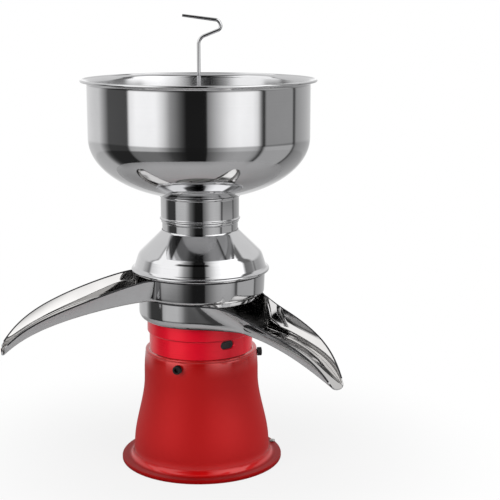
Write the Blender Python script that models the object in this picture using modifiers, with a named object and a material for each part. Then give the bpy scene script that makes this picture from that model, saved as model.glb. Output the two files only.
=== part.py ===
"""Electric cream separator: motor base, spinning drum, two spouted receivers, float chamber and milk bowl.

Metres, +Z up. The origin is on the drum's axis, at the underside of the base. The front is -Y.
"""

import math

import bmesh
import bpy
from mathutils import Matrix, Vector

# Base and drum housing
SHELL_HEIGHT = 0.1345
SHELL_FLARE = 0.0129
SHELL_FOOT_Z = 0.018
SHELL_WALL = 0.003
BRIM_WIDTH = 0.0149
BRIM_THICK = 0.0042
FOOT_FILLET = 0.0075
PLATE_THICK = 0.003
HOUSING_RADIUS = 0.0601
HOUSING_SHOWN = 0.0358
HOUSING_DEPTH = 0.0533
HOUSING_WALL = 0.0023
HOUSING_RIM_STEP = 0.0023
HOUSING_RIM_HEIGHT = 0.0141
FLOOR_THICK = 0.004
LAND_WALL = 0.0065
LAND_HEIGHT = 0.0305
SCREW_AZIMUTHS = (-23, 97, 217)
SCREW_DROP = 0.010
SLOT_AZIMUTHS = (30, 210)
SLOT_SIZE = (0.017, 0.0095)
SLOT_DROP = 0.0067

# Receivers: two pans with open spouts that droop to their tips
SHEET = 0.0012
SKIM_OVERHANG = 0.0091
SKIM_HEIGHT = 0.0293
SKIM_CORNER = 0.009
CREAM_OVERHANG = 0.0034
CREAM_HEIGHT = 0.0252
CREAM_CORNER = 0.003
SPOUT_STATIONS = 8
SPOUT_CURL_POWER = 7
SPOUT_CORNER = 0.003
SKIM_SPOUT_LENGTH = 0.1463
SKIM_SPOUT_AZIMUTH = 40.3
CREAM_SPOUT_LENGTH = 0.1574
CREAM_SPOUT_AZIMUTH = -69.0

# Drum
DRUM_CLEARANCE = 0.0053
DRUM_NECK_RADIUS = 0.024
TUBE_RADIUS = 0.010
TUBE_BORE = 0.0065
CREAM_NECK_RADIUS = 0.018
DISC_COUNT = 7
DISC_PITCH = 0.0018
DISC_THICK = 0.0007
DISC_TUBE_RADIUS = 0.014

# Float chamber, bowl and valve
NECK_RADIUS = 0.0436
NECK_HEIGHT = 0.0142
CONE_HEIGHT = 0.0463
CUP_DEPTH = 0.0350
NOZZLE_RADIUS = 0.0045
FLOAT_HEIGHT = 0.016
FLOAT_TRAVEL = 0.006
BOWL_RADIUS = 0.126
BOWL_WALL_HEIGHT = 0.062
BOWL_DEPTH = 0.0712
BOWL_ROUNDNESS = 2.15
BOWL_BEAD = 0.0022
RIM_OVERHANG = 0.0055
COLLAR_HEIGHT = 0.0278
PLUG_RADIUS = 0.008
WIRE_RADIUS = 0.002

# Motor, all on the drum's axis
SHAFT_RADIUS = 0.006
STATOR_RADIUS = 0.044
STATOR_HEIGHT = 0.032
YOKE_WALL = 0.006
POLE_LENGTH = 0.0125
POLE_ANGLE = 36
AIR_GAP = 0.001
COMMUTATOR_RADIUS = 0.012
BEARING_RADIUS = 0.011
BEARING_HEIGHT = 0.008
BRACKET_WALL = 0.003
MOUNT_HEIGHT = 0.008
MOUNT_AZIMUTHS = (37, 157, 277)

# Switch and cord entry at the back
SWITCH_SIZE = (0.015, 0.021)
ROCKER_TILT = 7
GLAND_Z = 0.026
GLAND_BORE = 0.0035

# Clearances
GAP = 0.0003
RUNNING = 0.0003
TURNING = 0.0006
SEATING = 0.0005

# Facets round a turned piece
LARGE_STEPS = 28
MEDIUM_STEPS = 16
SMALL_STEPS = 10

# Levels, from the base up, and the radii that follow from what each piece sits on
HOUSING_TOP_Z = SHELL_HEIGHT + HOUSING_SHOWN
HOUSING_STEP_Z = HOUSING_TOP_Z - HOUSING_RIM_HEIGHT
HOUSING_FLOOR_Z = HOUSING_TOP_Z - HOUSING_DEPTH
HOUSING_FOOT_Z = SHELL_HEIGHT - LAND_HEIGHT
HOUSING_BORE = HOUSING_RADIUS - HOUSING_WALL
HOUSING_RIM_RADIUS = HOUSING_RADIUS + HOUSING_RIM_STEP
SHELL_WAIST_Z = HOUSING_FOOT_Z - 0.004
SHELL_WAIST_RADIUS = HOUSING_RADIUS + LAND_WALL
SHELL_FOOT_RADIUS = SHELL_WAIST_RADIUS + SHELL_FLARE
BRIM_RADIUS = SHELL_FOOT_RADIUS + BRIM_WIDTH
SKIM_RADIUS = HOUSING_RIM_RADIUS + SKIM_OVERHANG
SKIM_FLOOR_Z = HOUSING_TOP_Z + SEATING
SKIM_RIM_Z = SKIM_FLOOR_Z + SKIM_HEIGHT
CREAM_RADIUS = SKIM_RADIUS + CREAM_OVERHANG
CREAM_FLOOR_Z = SKIM_RIM_Z + SEATING
CREAM_RIM_Z = CREAM_FLOOR_Z + CREAM_HEIGHT
LIP_Z = CREAM_RIM_Z + SEATING
CONE_TOP_Z = LIP_Z + CONE_HEIGHT
COLLAR_FOOT_Z = CONE_TOP_Z + NECK_HEIGHT
COLLAR_RADIUS = NECK_RADIUS + 0.0014

for old in list(bpy.data.objects):
    bpy.data.objects.remove(old, do_unlink=True)

parts = bpy.data.collections.new("cream_separator")
cutters = bpy.data.collections.new("cutters")
bpy.context.scene.collection.children.link(parts)
bpy.context.scene.collection.children.link(cutters)


def finish(name, colour, roughness, metallic):
    made = bpy.data.materials.new(name)
    made.use_nodes = True
    shader = made.node_tree.nodes["Principled BSDF"]
    shader.inputs["Base Color"].default_value = (*colour, 1.0)
    shader.inputs["Roughness"].default_value = roughness
    shader.inputs["Metallic"].default_value = metallic
    return made


stainless = finish("polished stainless", (0.72, 0.72, 0.73), 0.08, 1.0)
red_shell = finish("red shell", (0.42, 0.02, 0.02), 0.4, 0.6)
red_bright = finish("bright red housing", (0.55, 0.02, 0.03), 0.2, 0.9)
black_screw = finish("blackened steel", (0.02, 0.02, 0.022), 0.4, 0.8)
zinc = finish("zinc plated steel", (0.6, 0.6, 0.58), 0.35, 1.0)
steel = finish("bare steel", (0.5, 0.5, 0.5), 0.3, 1.0)
aluminium = finish("turned aluminium", (0.65, 0.66, 0.67), 0.3, 1.0)
copper = finish("enamelled copper", (0.5, 0.2, 0.07), 0.4, 0.9)
rubber = finish("black rubber", (0.03, 0.03, 0.03), 0.8, 0.0)
plastic = finish("black plastic", (0.04, 0.04, 0.045), 0.45, 0.0)
carbon = finish("carbon", (0.05, 0.05, 0.055), 0.6, 0.0)


def place(name, mesh, material):
    """New object in the parts, or among the cutters if it has no material."""
    made = bpy.data.objects.new(name, mesh)
    if material is None:
        made.hide_render = True
        made.display_type = "WIRE"
        cutters.objects.link(made)
    else:
        mesh.materials.append(material)
        parts.objects.link(made)
    return made


def mesh_from(name, shape, material):
    """Object from a bmesh, shaded smooth apart from its sharp edges."""
    mesh = bpy.data.meshes.new(name)
    shape.to_mesh(mesh)
    shape.free()
    mesh.shade_smooth()
    mesh.set_sharp_from_angle(angle=math.radians(30))
    return place(name, mesh, material)


def turned(name, outline, material, steps=MEDIUM_STEPS):
    """Solid turned about Z. The (radius, height) outline runs down the outside and back up the inside."""
    last = len(outline) - 1
    edges = [(i, i + 1) for i in range(last)]
    if outline[0][0] > 0 or outline[last][0] > 0:
        edges.append((last, 0))
    mesh = bpy.data.meshes.new(name)
    mesh.from_pydata([(radius, 0, height) for radius, height in outline], edges, [])
    made = place(name, mesh, material)
    screw = made.modifiers.new("turn", "SCREW")
    screw.axis = "Z"
    screw.steps = steps
    screw.render_steps = steps
    screw.use_merge_vertices = True
    screw.merge_threshold = 0.00001
    screw.use_smooth_shade = True
    return made


def cylinder(name, radius, depth, material, steps=SMALL_STEPS):
    """Solid rod along Z, centred on its origin."""
    shape = bmesh.new()
    bmesh.ops.create_cone(
        shape, cap_ends=True, segments=steps, radius1=radius, radius2=radius, depth=depth
    )
    return mesh_from(name, shape, material)


def box(name, low, high, material):
    """Block between two corners."""
    shape = bmesh.new()
    bmesh.ops.create_cube(shape, size=1)
    size = [b - a for a, b in zip(low, high)]
    middle = [(a + b) / 2 for a, b in zip(low, high)]
    bmesh.ops.transform(shape, matrix=Matrix.Diagonal((*size, 1)), verts=shape.verts)
    bmesh.ops.translate(shape, vec=middle, verts=shape.verts)
    return mesh_from(name, shape, material)


def lofted(name, sections, material):
    """Solid through rings of points in the same order, with flat ends."""
    shape = bmesh.new()
    rings = [[shape.verts.new(point) for point in section] for section in sections]
    count = len(rings[0])
    for ring, following in zip(rings, rings[1:]):
        for i in range(count):
            j = (i + 1) % count
            shape.faces.new((ring[i], ring[j], following[j], following[i]))
    shape.faces.new(rings[0][::-1])
    shape.faces.new(rings[-1])
    bmesh.ops.recalc_face_normals(shape, faces=shape.faces)
    return mesh_from(name, shape, material)


def extruded(name, outlines, low, high, material):
    """Flat outlines, the first the outside and the rest holes, pulled up from one height to another."""
    curve = bpy.data.curves.new(name, "CURVE")
    curve.dimensions = "2D"
    curve.fill_mode = "BOTH"
    curve.extrude = (high - low) / 2
    for outline in outlines:
        spline = curve.splines.new("POLY")
        spline.points.add(len(outline) - 1)
        for point, (x, y) in zip(spline.points, outline):
            point.co = (x, y, 0, 1)
        spline.use_cyclic_u = True
    made = place(name, curve, material)
    made.location.z = (low + high) / 2
    return made


def combine(target, tool, operation="DIFFERENCE"):
    """Boolean of a part with a cutter or a joined piece."""
    step = target.modifiers.new(tool.name, "BOOLEAN")
    step.operation = operation
    step.object = tool


def outward(azimuth):
    """Level direction at an angle from the front, positive towards +X."""
    angle = math.radians(azimuth)
    return Vector((math.sin(angle), -math.cos(angle), 0))


def aim(made, direction, position):
    """Turns a piece's own Z along a direction and moves its origin."""
    made.rotation_mode = "QUATERNION"
    made.rotation_quaternion = direction.to_track_quat("Z", "Y")
    made.location = position
    return made


def arc(centre, radii, start, end, count):
    """Points on an ellipse's arc, angles in degrees from +radius towards +height."""
    angles = [math.radians(start + (end - start) * i / count) for i in range(count + 1)]
    return [(centre[0] + radii[0] * math.cos(a), centre[1] + radii[1] * math.sin(a)) for a in angles]


def ring_outline(radius, count, start=0.0):
    turns = [math.tau * i / count + start for i in range(count)]
    return [(radius * math.cos(t), radius * math.sin(t)) for t in turns]


# Base shell: a spun bell that flares to a brim, with a thick land at the top for the housing screws
def shell_radius(z):
    """Outside radius of the bell between waist and foot."""
    share = min(max((SHELL_WAIST_Z - z) / (SHELL_WAIST_Z - SHELL_FOOT_Z), 0), 1)
    flare = share * share * (3 - 2 * share)
    return SHELL_WAIST_RADIUS + (SHELL_FOOT_RADIUS - SHELL_WAIST_RADIUS) * flare


PLATE_RADIUS = BRIM_RADIUS - 0.0084
LAND_RADIUS = HOUSING_RADIUS + GAP
SCREW_Z = SHELL_HEIGHT - SCREW_DROP
LIP_DROP = 0.003
bell_heights = [SHELL_WAIST_Z - (SHELL_WAIST_Z - SHELL_FOOT_Z) * i / 5 for i in range(6)]
fillet_centre = (SHELL_FOOT_RADIUS + FOOT_FILLET, BRIM_THICK + FOOT_FILLET)
inner_heights = [bell_heights[i] for i in (5, 3, 2, 0)]
shell_outline = [
    (SHELL_WAIST_RADIUS - 0.0044, SHELL_HEIGHT),
    (SHELL_WAIST_RADIUS - 0.0023, SHELL_HEIGHT - 0.0008),
    (SHELL_WAIST_RADIUS - 0.0016, SHELL_HEIGHT - LIP_DROP),
    (SHELL_WAIST_RADIUS, SCREW_Z - 0.009),
    *[(shell_radius(z), z) for z in bell_heights],
    *arc(fillet_centre, (FOOT_FILLET, FOOT_FILLET), 180, 270, 3),
    (BRIM_RADIUS - 0.0008, BRIM_THICK - 0.0003),
    (BRIM_RADIUS, BRIM_THICK - 0.0012),
    (BRIM_RADIUS, 0.0008),
    (BRIM_RADIUS - 0.0008, 0),
    (PLATE_RADIUS + GAP, 0),
    (PLATE_RADIUS + GAP, PLATE_THICK + GAP),
    (SHELL_FOOT_RADIUS - SHELL_WALL, PLATE_THICK + GAP),
    *[(shell_radius(z) - SHELL_WALL, z) for z in inner_heights],
    (LAND_RADIUS, HOUSING_FOOT_Z),
    (LAND_RADIUS, SHELL_HEIGHT),
]
base_shell = turned("base_shell", shell_outline, red_shell, LARGE_STEPS)

# Drum housing: a cup with a stepped rim, a floor over the motor and a collar round the shaft
SHAFT_HOLE = SHAFT_RADIUS + 0.008
SLOT_Z = HOUSING_STEP_Z - SLOT_DROP
COLLAR_WALL = 0.0015
housing_outline = [
    (HOUSING_RIM_RADIUS - 0.0006, HOUSING_TOP_Z),
    (HOUSING_RIM_RADIUS, HOUSING_TOP_Z - 0.0006),
    (HOUSING_RIM_RADIUS, HOUSING_STEP_Z),
    (HOUSING_RADIUS, HOUSING_STEP_Z - 0.003),
    (HOUSING_RADIUS, HOUSING_FOOT_Z),
    (HOUSING_BORE - 0.0005, HOUSING_FOOT_Z),
    (HOUSING_BORE - 0.0005, HOUSING_FLOOR_Z - FLOOR_THICK),
    (SHAFT_HOLE, HOUSING_FLOOR_Z - FLOOR_THICK),
    (SHAFT_HOLE, HOUSING_FLOOR_Z + 0.004),
    (SHAFT_HOLE + COLLAR_WALL, HOUSING_FLOOR_Z + 0.004),
    (SHAFT_HOLE + COLLAR_WALL, HOUSING_FLOOR_Z),
    (HOUSING_BORE, HOUSING_FLOOR_Z),
    (HOUSING_BORE, HOUSING_TOP_Z),
]
drum_housing = turned("drum_housing", housing_outline, red_bright, LARGE_STEPS)
for number, azimuth in enumerate(SLOT_AZIMUTHS, 1):
    width, height = SLOT_SIZE
    straight = (width - height) / 2
    ends = arc((straight, 0), (height / 2, height / 2), -90, 90, 6)
    outline = [(x, z) for x, z in ends] + [(-x, -z) for x, z in ends]
    depth = 0.012
    direction = outward(azimuth)
    across = Vector((-direction.y, direction.x, 0))
    middle = direction * HOUSING_RADIUS + Vector((0, 0, SLOT_Z))
    rings = [
        [middle + direction * reach + across * x + Vector((0, 0, z)) for x, z in outline]
        for reach in (-depth / 2, depth / 2)
    ]
    combine(drum_housing, lofted(f"slot_cutter_{number}", rings, None))

# Housing screws: socket heads on the shell that reach into the housing's wall
HEAD_RADIUS = 0.0055
HEAD_HEIGHT = 0.005
SHANK_RADIUS = 0.0022
SOCKET_RADIUS = 0.0026
HEAD_SEAT = SHELL_WAIST_RADIUS + GAP
shank_length = HEAD_SEAT - HOUSING_BORE - 0.0005
screw_outline = [
    (SOCKET_RADIUS, HEAD_HEIGHT),
    (HEAD_RADIUS - 0.0005, HEAD_HEIGHT),
    (HEAD_RADIUS, HEAD_HEIGHT - 0.0005),
    (HEAD_RADIUS, 0),
    (SHANK_RADIUS, 0),
    (SHANK_RADIUS, -shank_length),
    (0, -shank_length),
    (0, HEAD_HEIGHT - 0.003),
    (SOCKET_RADIUS, HEAD_HEIGHT - 0.003),
]
for number, azimuth in enumerate(SCREW_AZIMUTHS, 1):
    direction = outward(azimuth)
    seat = direction * HEAD_SEAT + Vector((0, 0, SCREW_Z))
    aim(turned(f"housing_screw_{number}", screw_outline, black_screw, SMALL_STEPS), direction, seat)
    hole = cylinder(f"screw_hole_{number}", SHANK_RADIUS + GAP, 0.03, None)
    aim(hole, direction, seat - direction * 0.005)
    combine(base_shell, hole)
    combine(drum_housing, hole)

# Bottom plate: closes the bell flush with the brim, with air holes and sunk screws
VENT_COUNT = 6
VENT_CIRCLE = PLATE_RADIUS - 0.031
VENT_RADIUS = 0.005
PLATE_SCREW_CIRCLE = PLATE_RADIUS - 0.007
PLATE_SCREW_REACH = 0.006
PLATE_SCREW_AZIMUTHS = (60, 180, 300)
SUNK_DEPTH = 0.0016
bottom_plate = cylinder("bottom_plate", PLATE_RADIUS, PLATE_THICK, zinc, LARGE_STEPS)
bottom_plate.location.z = PLATE_THICK / 2
for number in range(VENT_COUNT):
    vent = cylinder(f"vent_cutter_{number + 1}", VENT_RADIUS, 0.02, None)
    vent.location = outward(360 * number / VENT_COUNT + 30) * VENT_CIRCLE
    combine(bottom_plate, vent)
plate_screw_outline = [
    (0, PLATE_SCREW_REACH),
    (0.0014, PLATE_SCREW_REACH),
    (0.0014, 0.0014),
    (0.0031, 0.0014),
    (0.0031, 0.0002),
    (0, 0.0002),
]
for number, azimuth in enumerate(PLATE_SCREW_AZIMUTHS, 1):
    spot = outward(azimuth) * PLATE_SCREW_CIRCLE
    turned(f"bottom_screw_{number}", plate_screw_outline, zinc, SMALL_STEPS).location = spot
    sunk = cylinder(f"sunk_cutter_{number}", 0.0031 + GAP, 2 * SUNK_DEPTH, None)
    sunk.location = spot
    combine(bottom_plate, sunk)
    hole = cylinder(f"plate_hole_{number}", 0.0014 + GAP, 2 * (PLATE_SCREW_REACH + GAP), None)
    hole.location = spot
    combine(bottom_plate, hole)
    combine(base_shell, hole)

# Earth screw on the flat of the brim, at the right
EARTH_AZIMUTH = 109
EARTH_CIRCLE = BRIM_RADIUS - 0.0034
earth_seat = BRIM_THICK + GAP
earth_outline = [
    (0, earth_seat + 0.0022),
    (0.0022, earth_seat + 0.0022),
    (0.0030, earth_seat + 0.0014),
    (0.0030, earth_seat),
    (0.0014, earth_seat),
    (0.0014, earth_seat - 0.0027),
    (0, earth_seat - 0.0027),
]
earth_spot = outward(EARTH_AZIMUTH) * EARTH_CIRCLE
turned("earth_screw", earth_outline, zinc, SMALL_STEPS).location = earth_spot
earth_hole = cylinder("earth_hole", 0.0014 + GAP, 0.009, None)
earth_hole.location = earth_spot + Vector((0, 0, 0.006))
combine(base_shell, earth_hole)

# Power switch: body and bezel in a rectangular hole at the back, with a rocker on a level pivot
width, height = SWITCH_SIZE
SWITCH_Z = HOUSING_FOOT_Z - 0.013
bezel_back = shell_radius(SWITCH_Z - height / 2) + GAP
bezel_face = bezel_back + 0.0022
body_low = (-width / 2 + 0.0012, bezel_back - 0.014, SWITCH_Z - height / 2 + 0.0012)
body_high = (width / 2 - 0.0012, bezel_back + 0.0005, SWITCH_Z + height / 2 - 0.0012)
switch_body = box(
    "switch_body",
    (-width / 2, bezel_back, SWITCH_Z - height / 2),
    (width / 2, bezel_face, SWITCH_Z + height / 2),
    plastic,
)
combine(switch_body, box("switch_core", body_low, body_high, None), "UNION")
window = (0.0098, 0.0165)
combine(
    switch_body,
    box(
        "rocker_window",
        (-window[0] / 2, bezel_face - 0.009, SWITCH_Z - window[1] / 2),
        (window[0] / 2, bezel_face + 0.005, SWITCH_Z + window[1] / 2),
        None,
    ),
)
combine(
    base_shell,
    box(
        "switch_hole",
        (body_low[0] - GAP, body_low[1], body_low[2] - GAP),
        (body_high[0] + GAP, bezel_face + 0.01, body_high[2] + GAP),
        None,
    ),
)
rocker_corner = (0.0045, 0.004, 0.0068)
rocker = box("switch_rocker", [-side for side in rocker_corner], rocker_corner, plastic)
rocker.location = (0, bezel_face - 0.0025, SWITCH_Z)
rocker.rotation_euler.x = math.radians(-ROCKER_TILT)

# Cord gland: a flanged sleeve in the back of the bell, level, below the switch
gland_wall = shell_radius(GLAND_Z - 0.0078) + GAP
gland_outline = [
    (GLAND_BORE, 0.0035),
    (0.0066, 0.0035),
    (0.0078, 0.0022),
    (0.0078, 0),
    (0.0056, 0),
    (0.0056, -0.0125),
    (GLAND_BORE, -0.0125),
]
aim(turned("cord_gland", gland_outline, rubber, SMALL_STEPS), outward(180), (0, gland_wall, GLAND_Z))
gland_hole = cylinder("gland_hole", 0.0056 + GAP, 0.03, None)
aim(gland_hole, outward(180), (0, gland_wall - 0.003, GLAND_Z))
combine(base_shell, gland_hole)

# Motor, hung under the housing's floor: brackets, bearings, stator, coils and brushes
BRACKET_BORE = STATOR_RADIUS - BRACKET_WALL
UPPER_TOP_Z = HOUSING_FLOOR_Z - FLOOR_THICK - MOUNT_HEIGHT
UPPER_PLATE_Z = UPPER_TOP_Z - BEARING_HEIGHT
stator_high = UPPER_PLATE_Z - 0.011
stator_low = stator_high - STATOR_HEIGHT
LOWER_PLATE_Z = stator_low - 0.036
MOUNT_CIRCLE = STATOR_RADIUS - 0.008
YOKE_BORE = STATOR_RADIUS - YOKE_WALL
POLE_BORE = YOKE_BORE - POLE_LENGTH
POLE_HALF_WIDTH = POLE_BORE * math.sin(math.radians(POLE_ANGLE))
ARMATURE_RADIUS = POLE_BORE - AIR_GAP
upper_bearing_z = UPPER_TOP_Z - BEARING_HEIGHT - 0.001
lower_bearing_z = LOWER_PLATE_Z + 0.0035
POCKET_RADIUS = BEARING_RADIUS + GAP
hub_radius = POCKET_RADIUS + 0.004
upper_bracket = turned(
    "upper_bracket",
    [
        (STATOR_RADIUS, UPPER_TOP_Z),
        (STATOR_RADIUS, stator_high + GAP),
        (BRACKET_BORE, stator_high + GAP),
        (BRACKET_BORE, UPPER_PLATE_Z + 0.002),
        (hub_radius, UPPER_PLATE_Z + 0.002),
        (hub_radius, upper_bearing_z - GAP - 0.002),
        (SHAFT_RADIUS + 0.002, upper_bearing_z - GAP - 0.002),
        (SHAFT_RADIUS + 0.002, upper_bearing_z - GAP),
        (POCKET_RADIUS, upper_bearing_z - GAP),
        (POCKET_RADIUS, UPPER_TOP_Z),
    ],
    aluminium,
)
lower_bracket = turned(
    "lower_bracket",
    [
        (STATOR_RADIUS, stator_low - GAP),
        (STATOR_RADIUS, LOWER_PLATE_Z),
        (0, LOWER_PLATE_Z),
        (0, lower_bearing_z - GAP),
        (POCKET_RADIUS, lower_bearing_z - GAP),
        (POCKET_RADIUS, lower_bearing_z + BEARING_HEIGHT),
        (hub_radius, lower_bearing_z + BEARING_HEIGHT),
        (hub_radius, LOWER_PLATE_Z + BRACKET_WALL),
        (BRACKET_BORE, LOWER_PLATE_Z + BRACKET_WALL),
        (BRACKET_BORE, stator_low - GAP),
    ],
    aluminium,
)
for name, low in (("upper_bearing", upper_bearing_z), ("lower_bearing", lower_bearing_z)):
    bore = SHAFT_RADIUS + RUNNING
    high = low + BEARING_HEIGHT
    turned(name, [(BEARING_RADIUS, high), (BEARING_RADIUS, low), (bore, low), (bore, high)], steel)

# Stator core: a yoke with two poles that face the armature along X
pole_root = math.asin(POLE_HALF_WIDTH / YOKE_BORE)
pole_face = arc((0, 0), (POLE_BORE, POLE_BORE), -POLE_ANGLE, POLE_ANGLE, 6)
slot_start = math.degrees(pole_root)
yoke_wall = arc((0, 0), (YOKE_BORE, YOKE_BORE), slot_start, 180 - slot_start, 6)
half_window = pole_face + yoke_wall
stator_window = half_window + [(-x, -y) for x, y in half_window]
stator_ring = ring_outline(STATOR_RADIUS, MEDIUM_STEPS)
extruded("stator_core", [stator_ring, stator_window], stator_low, stator_high, steel)

# Field coils: a winding round each pole
COIL_DEPTH = 0.004
COIL_BUILD = 0.005
coil_inner_x = POLE_BORE + 0.001
coil_half_width = POLE_HALF_WIDTH + 0.0005
stator_middle = (stator_low + stator_high) / 2
coil_half_height = (stator_high - stator_low) / 2 + 0.0005
for name, side in (("field_coil_right", 1), ("field_coil_left", -1)):
    near = side * coil_inner_x
    far = side * (coil_inner_x + COIL_DEPTH)
    x_low, x_high = min(near, far), max(near, far)
    outer_y = coil_half_width + COIL_BUILD
    outer_z = coil_half_height + COIL_BUILD
    coil = box(
        name, (x_low, -outer_y, stator_middle - outer_z), (x_high, outer_y, stator_middle + outer_z), copper
    )
    core_low = (x_low - 0.01, -coil_half_width, stator_middle - coil_half_height)
    core_high = (x_high + 0.01, coil_half_width, stator_middle + coil_half_height)
    combine(coil, box(f"{name}_core", core_low, core_high, None))

# Brushes press on the commutator from front and back, in holders that reach the lower bracket's wall
BRUSH_Z = stator_low - 0.012
BRUSH_HALF = 0.003
HOLDER_HALF = 0.005
holder_out = math.sqrt(BRACKET_BORE**2 - HOLDER_HALF**2) * math.cos(math.pi / MEDIUM_STEPS) - GAP
for name, side in (("front", -1), ("back", 1)):
    reach = sorted((side * (COMMUTATOR_RADIUS + RUNNING), side * (COMMUTATOR_RADIUS + 0.014)))
    box(
        f"brush_{name}",
        (-BRUSH_HALF, reach[0], BRUSH_Z - BRUSH_HALF),
        (BRUSH_HALF, reach[1], BRUSH_Z + BRUSH_HALF),
        carbon,
    )
    span = sorted((side * (COMMUTATOR_RADIUS + 0.003), side * holder_out))
    holder = box(
        f"brush_holder_{name}",
        (-HOLDER_HALF, span[0], BRUSH_Z - HOLDER_HALF),
        (HOLDER_HALF, span[1], BRUSH_Z + HOLDER_HALF),
        plastic,
    )
    channel = BRUSH_HALF + GAP
    tunnel = sorted((side * (COMMUTATOR_RADIUS - 0.002), side * (holder_out - 0.006)))
    bore = box(
        f"brush_channel_{name}",
        (-channel, tunnel[0], BRUSH_Z - channel),
        (channel, tunnel[1], BRUSH_Z + channel),
        None,
    )
    combine(holder, bore)

# Rubber mounts between floor and motor, each with a screw down through the floor
MOTOR_SCREW_RADIUS = 0.002
mount_low = UPPER_TOP_Z + GAP
mount_high = HOUSING_FLOOR_Z - FLOOR_THICK - GAP
hole_radius = MOTOR_SCREW_RADIUS + GAP
mount_profile = [(0.007, mount_high), (0.007, mount_low), (hole_radius, mount_low), (hole_radius, mount_high)]
head_low = HOUSING_FLOOR_Z + GAP
motor_screw_outline = [
    (0, head_low + 0.003),
    (0.004, head_low + 0.003),
    (0.004, head_low),
    (MOTOR_SCREW_RADIUS, head_low),
    (MOTOR_SCREW_RADIUS, UPPER_PLATE_Z + 0.0025),
    (0, UPPER_PLATE_Z + 0.0025),
]
for number, azimuth in enumerate(MOUNT_AZIMUTHS, 1):
    spot = outward(azimuth) * MOUNT_CIRCLE
    turned(f"motor_mount_{number}", mount_profile, rubber, SMALL_STEPS).location = spot
    turned(f"motor_screw_{number}", motor_screw_outline, zinc, SMALL_STEPS).location = spot
    hole = cylinder(f"motor_hole_{number}", hole_radius, 0.032, None)
    hole.location = spot + Vector((0, 0, UPPER_PLATE_Z + 0.014))
    combine(drum_housing, hole)
    combine(upper_bracket, hole)

# Rotor: shaft with a tapered nose, armature, commutator and fan
DRUM_BASE_Z = HOUSING_FLOOR_Z + 0.007
DRUM_SEAT_Z = DRUM_BASE_Z + 0.009
NOSE_Z = HOUSING_FLOOR_Z + 0.001
NOSE_TOP_Z = DRUM_SEAT_Z + 0.009
NOSE_RADIUS = SHAFT_RADIUS - 0.002
shaft_outline = [
    (0, NOSE_TOP_Z),
    (NOSE_RADIUS, NOSE_TOP_Z),
    (SHAFT_RADIUS, NOSE_Z),
    (SHAFT_RADIUS, lower_bearing_z + 0.0005),
    (0, lower_bearing_z + 0.0005),
]
turned("motor_shaft", shaft_outline, steel)
HUB_BORE = SHAFT_RADIUS + GAP
TOOTH_COUNT = 12
tooth = math.tau / TOOTH_COUNT
armature_outline = []
for i in range(TOOTH_COUNT):
    for share, depth in ((-0.36, 1.0), (0, 1.0), (0.36, 1.0), (0.40, 0.72), (0.60, 0.72)):
        turn = (i + share) * tooth
        reach = ARMATURE_RADIUS * depth
        armature_outline.append((reach * math.cos(turn), reach * math.sin(turn)))
hub_hole = ring_outline(HUB_BORE, MEDIUM_STEPS)
extruded("armature_core", [armature_outline, hub_hole], stator_low + 0.001, stator_high - 0.001, steel)
turned(
    "commutator",
    [
        (COMMUTATOR_RADIUS, stator_low - 0.004),
        (COMMUTATOR_RADIUS, stator_low - 0.021),
        (HUB_BORE, stator_low - 0.021),
        (HUB_BORE, stator_low - 0.004),
    ],
    copper,
)
FAN_Z = stator_high + 0.0015
FAN_RADIUS = ARMATURE_RADIUS - 0.0015
FAN_DISC = 0.0012
BLADE_COUNT = 6
fan = turned(
    "cooling_fan",
    [(FAN_RADIUS, FAN_Z + FAN_DISC), (FAN_RADIUS, FAN_Z), (HUB_BORE, FAN_Z), (HUB_BORE, FAN_Z + FAN_DISC)],
    plastic,
)
for number in range(BLADE_COUNT):
    blade_low = (SHAFT_RADIUS + 0.004, -FAN_DISC / 2, FAN_DISC / 2)
    blade_high = (FAN_RADIUS - 0.001, FAN_DISC / 2, 0.0055)
    blade = box(f"fan_blade_{number + 1}", blade_low, blade_high, None)
    blade.location.z = FAN_Z
    blade.rotation_euler.z = math.tau * number / BLADE_COUNT
    combine(fan, blade, "UNION")

# Drum base: dish with a tapered socket below and a feed tube above, open through four side holes
DRUM_RADIUS = HOUSING_BORE - DRUM_CLEARANCE
CREAM_NECK_TOP_Z = CREAM_RIM_Z - 0.0078
TUBE_TOP_Z = CREAM_NECK_TOP_Z + 0.008
SOCKET_CLEAR = 0.0004
SEAL_GROOVE = (DRUM_RADIUS - 0.0033, DRUM_RADIUS - 0.0009, 0.003)
FEED_Z = NOSE_TOP_Z + 0.010
drum_base = turned(
    "drum_base",
    [
        (TUBE_RADIUS, TUBE_TOP_Z),
        (TUBE_RADIUS, NOSE_TOP_Z - 0.001),
        (TUBE_RADIUS + 0.0065, DRUM_SEAT_Z + 0.0012),
        (DRUM_RADIUS - 0.0125, DRUM_SEAT_Z - 0.0015),
        (SEAL_GROOVE[0], DRUM_SEAT_Z - 0.0015),
        (SEAL_GROOVE[0], DRUM_SEAT_Z - SEAL_GROOVE[2]),
        (SEAL_GROOVE[1], DRUM_SEAT_Z - SEAL_GROOVE[2]),
        (SEAL_GROOVE[1], DRUM_SEAT_Z),
        (DRUM_RADIUS, DRUM_SEAT_Z),
        (DRUM_RADIUS, DRUM_BASE_Z + 0.003),
        (DRUM_RADIUS - 0.003, DRUM_BASE_Z),
        (SHAFT_RADIUS + 0.006, DRUM_BASE_Z),
        (SHAFT_RADIUS + 0.006, DRUM_BASE_Z - 0.002),
        (SHAFT_RADIUS + SOCKET_CLEAR, DRUM_BASE_Z - 0.002),
        (NOSE_RADIUS + SOCKET_CLEAR, NOSE_TOP_Z + GAP),
        (0, NOSE_TOP_Z + GAP),
        (0, FEED_Z - 0.004),
        (TUBE_BORE, FEED_Z - 0.004),
        (TUBE_BORE, TUBE_TOP_Z),
    ],
    aluminium,
)
for number, azimuth in enumerate((45, 135), 1):
    feed = cylinder(f"feed_hole_{number}", 0.003, 0.04, None)
    aim(feed, outward(azimuth), (0, 0, FEED_Z))
    combine(drum_base, feed)
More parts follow.
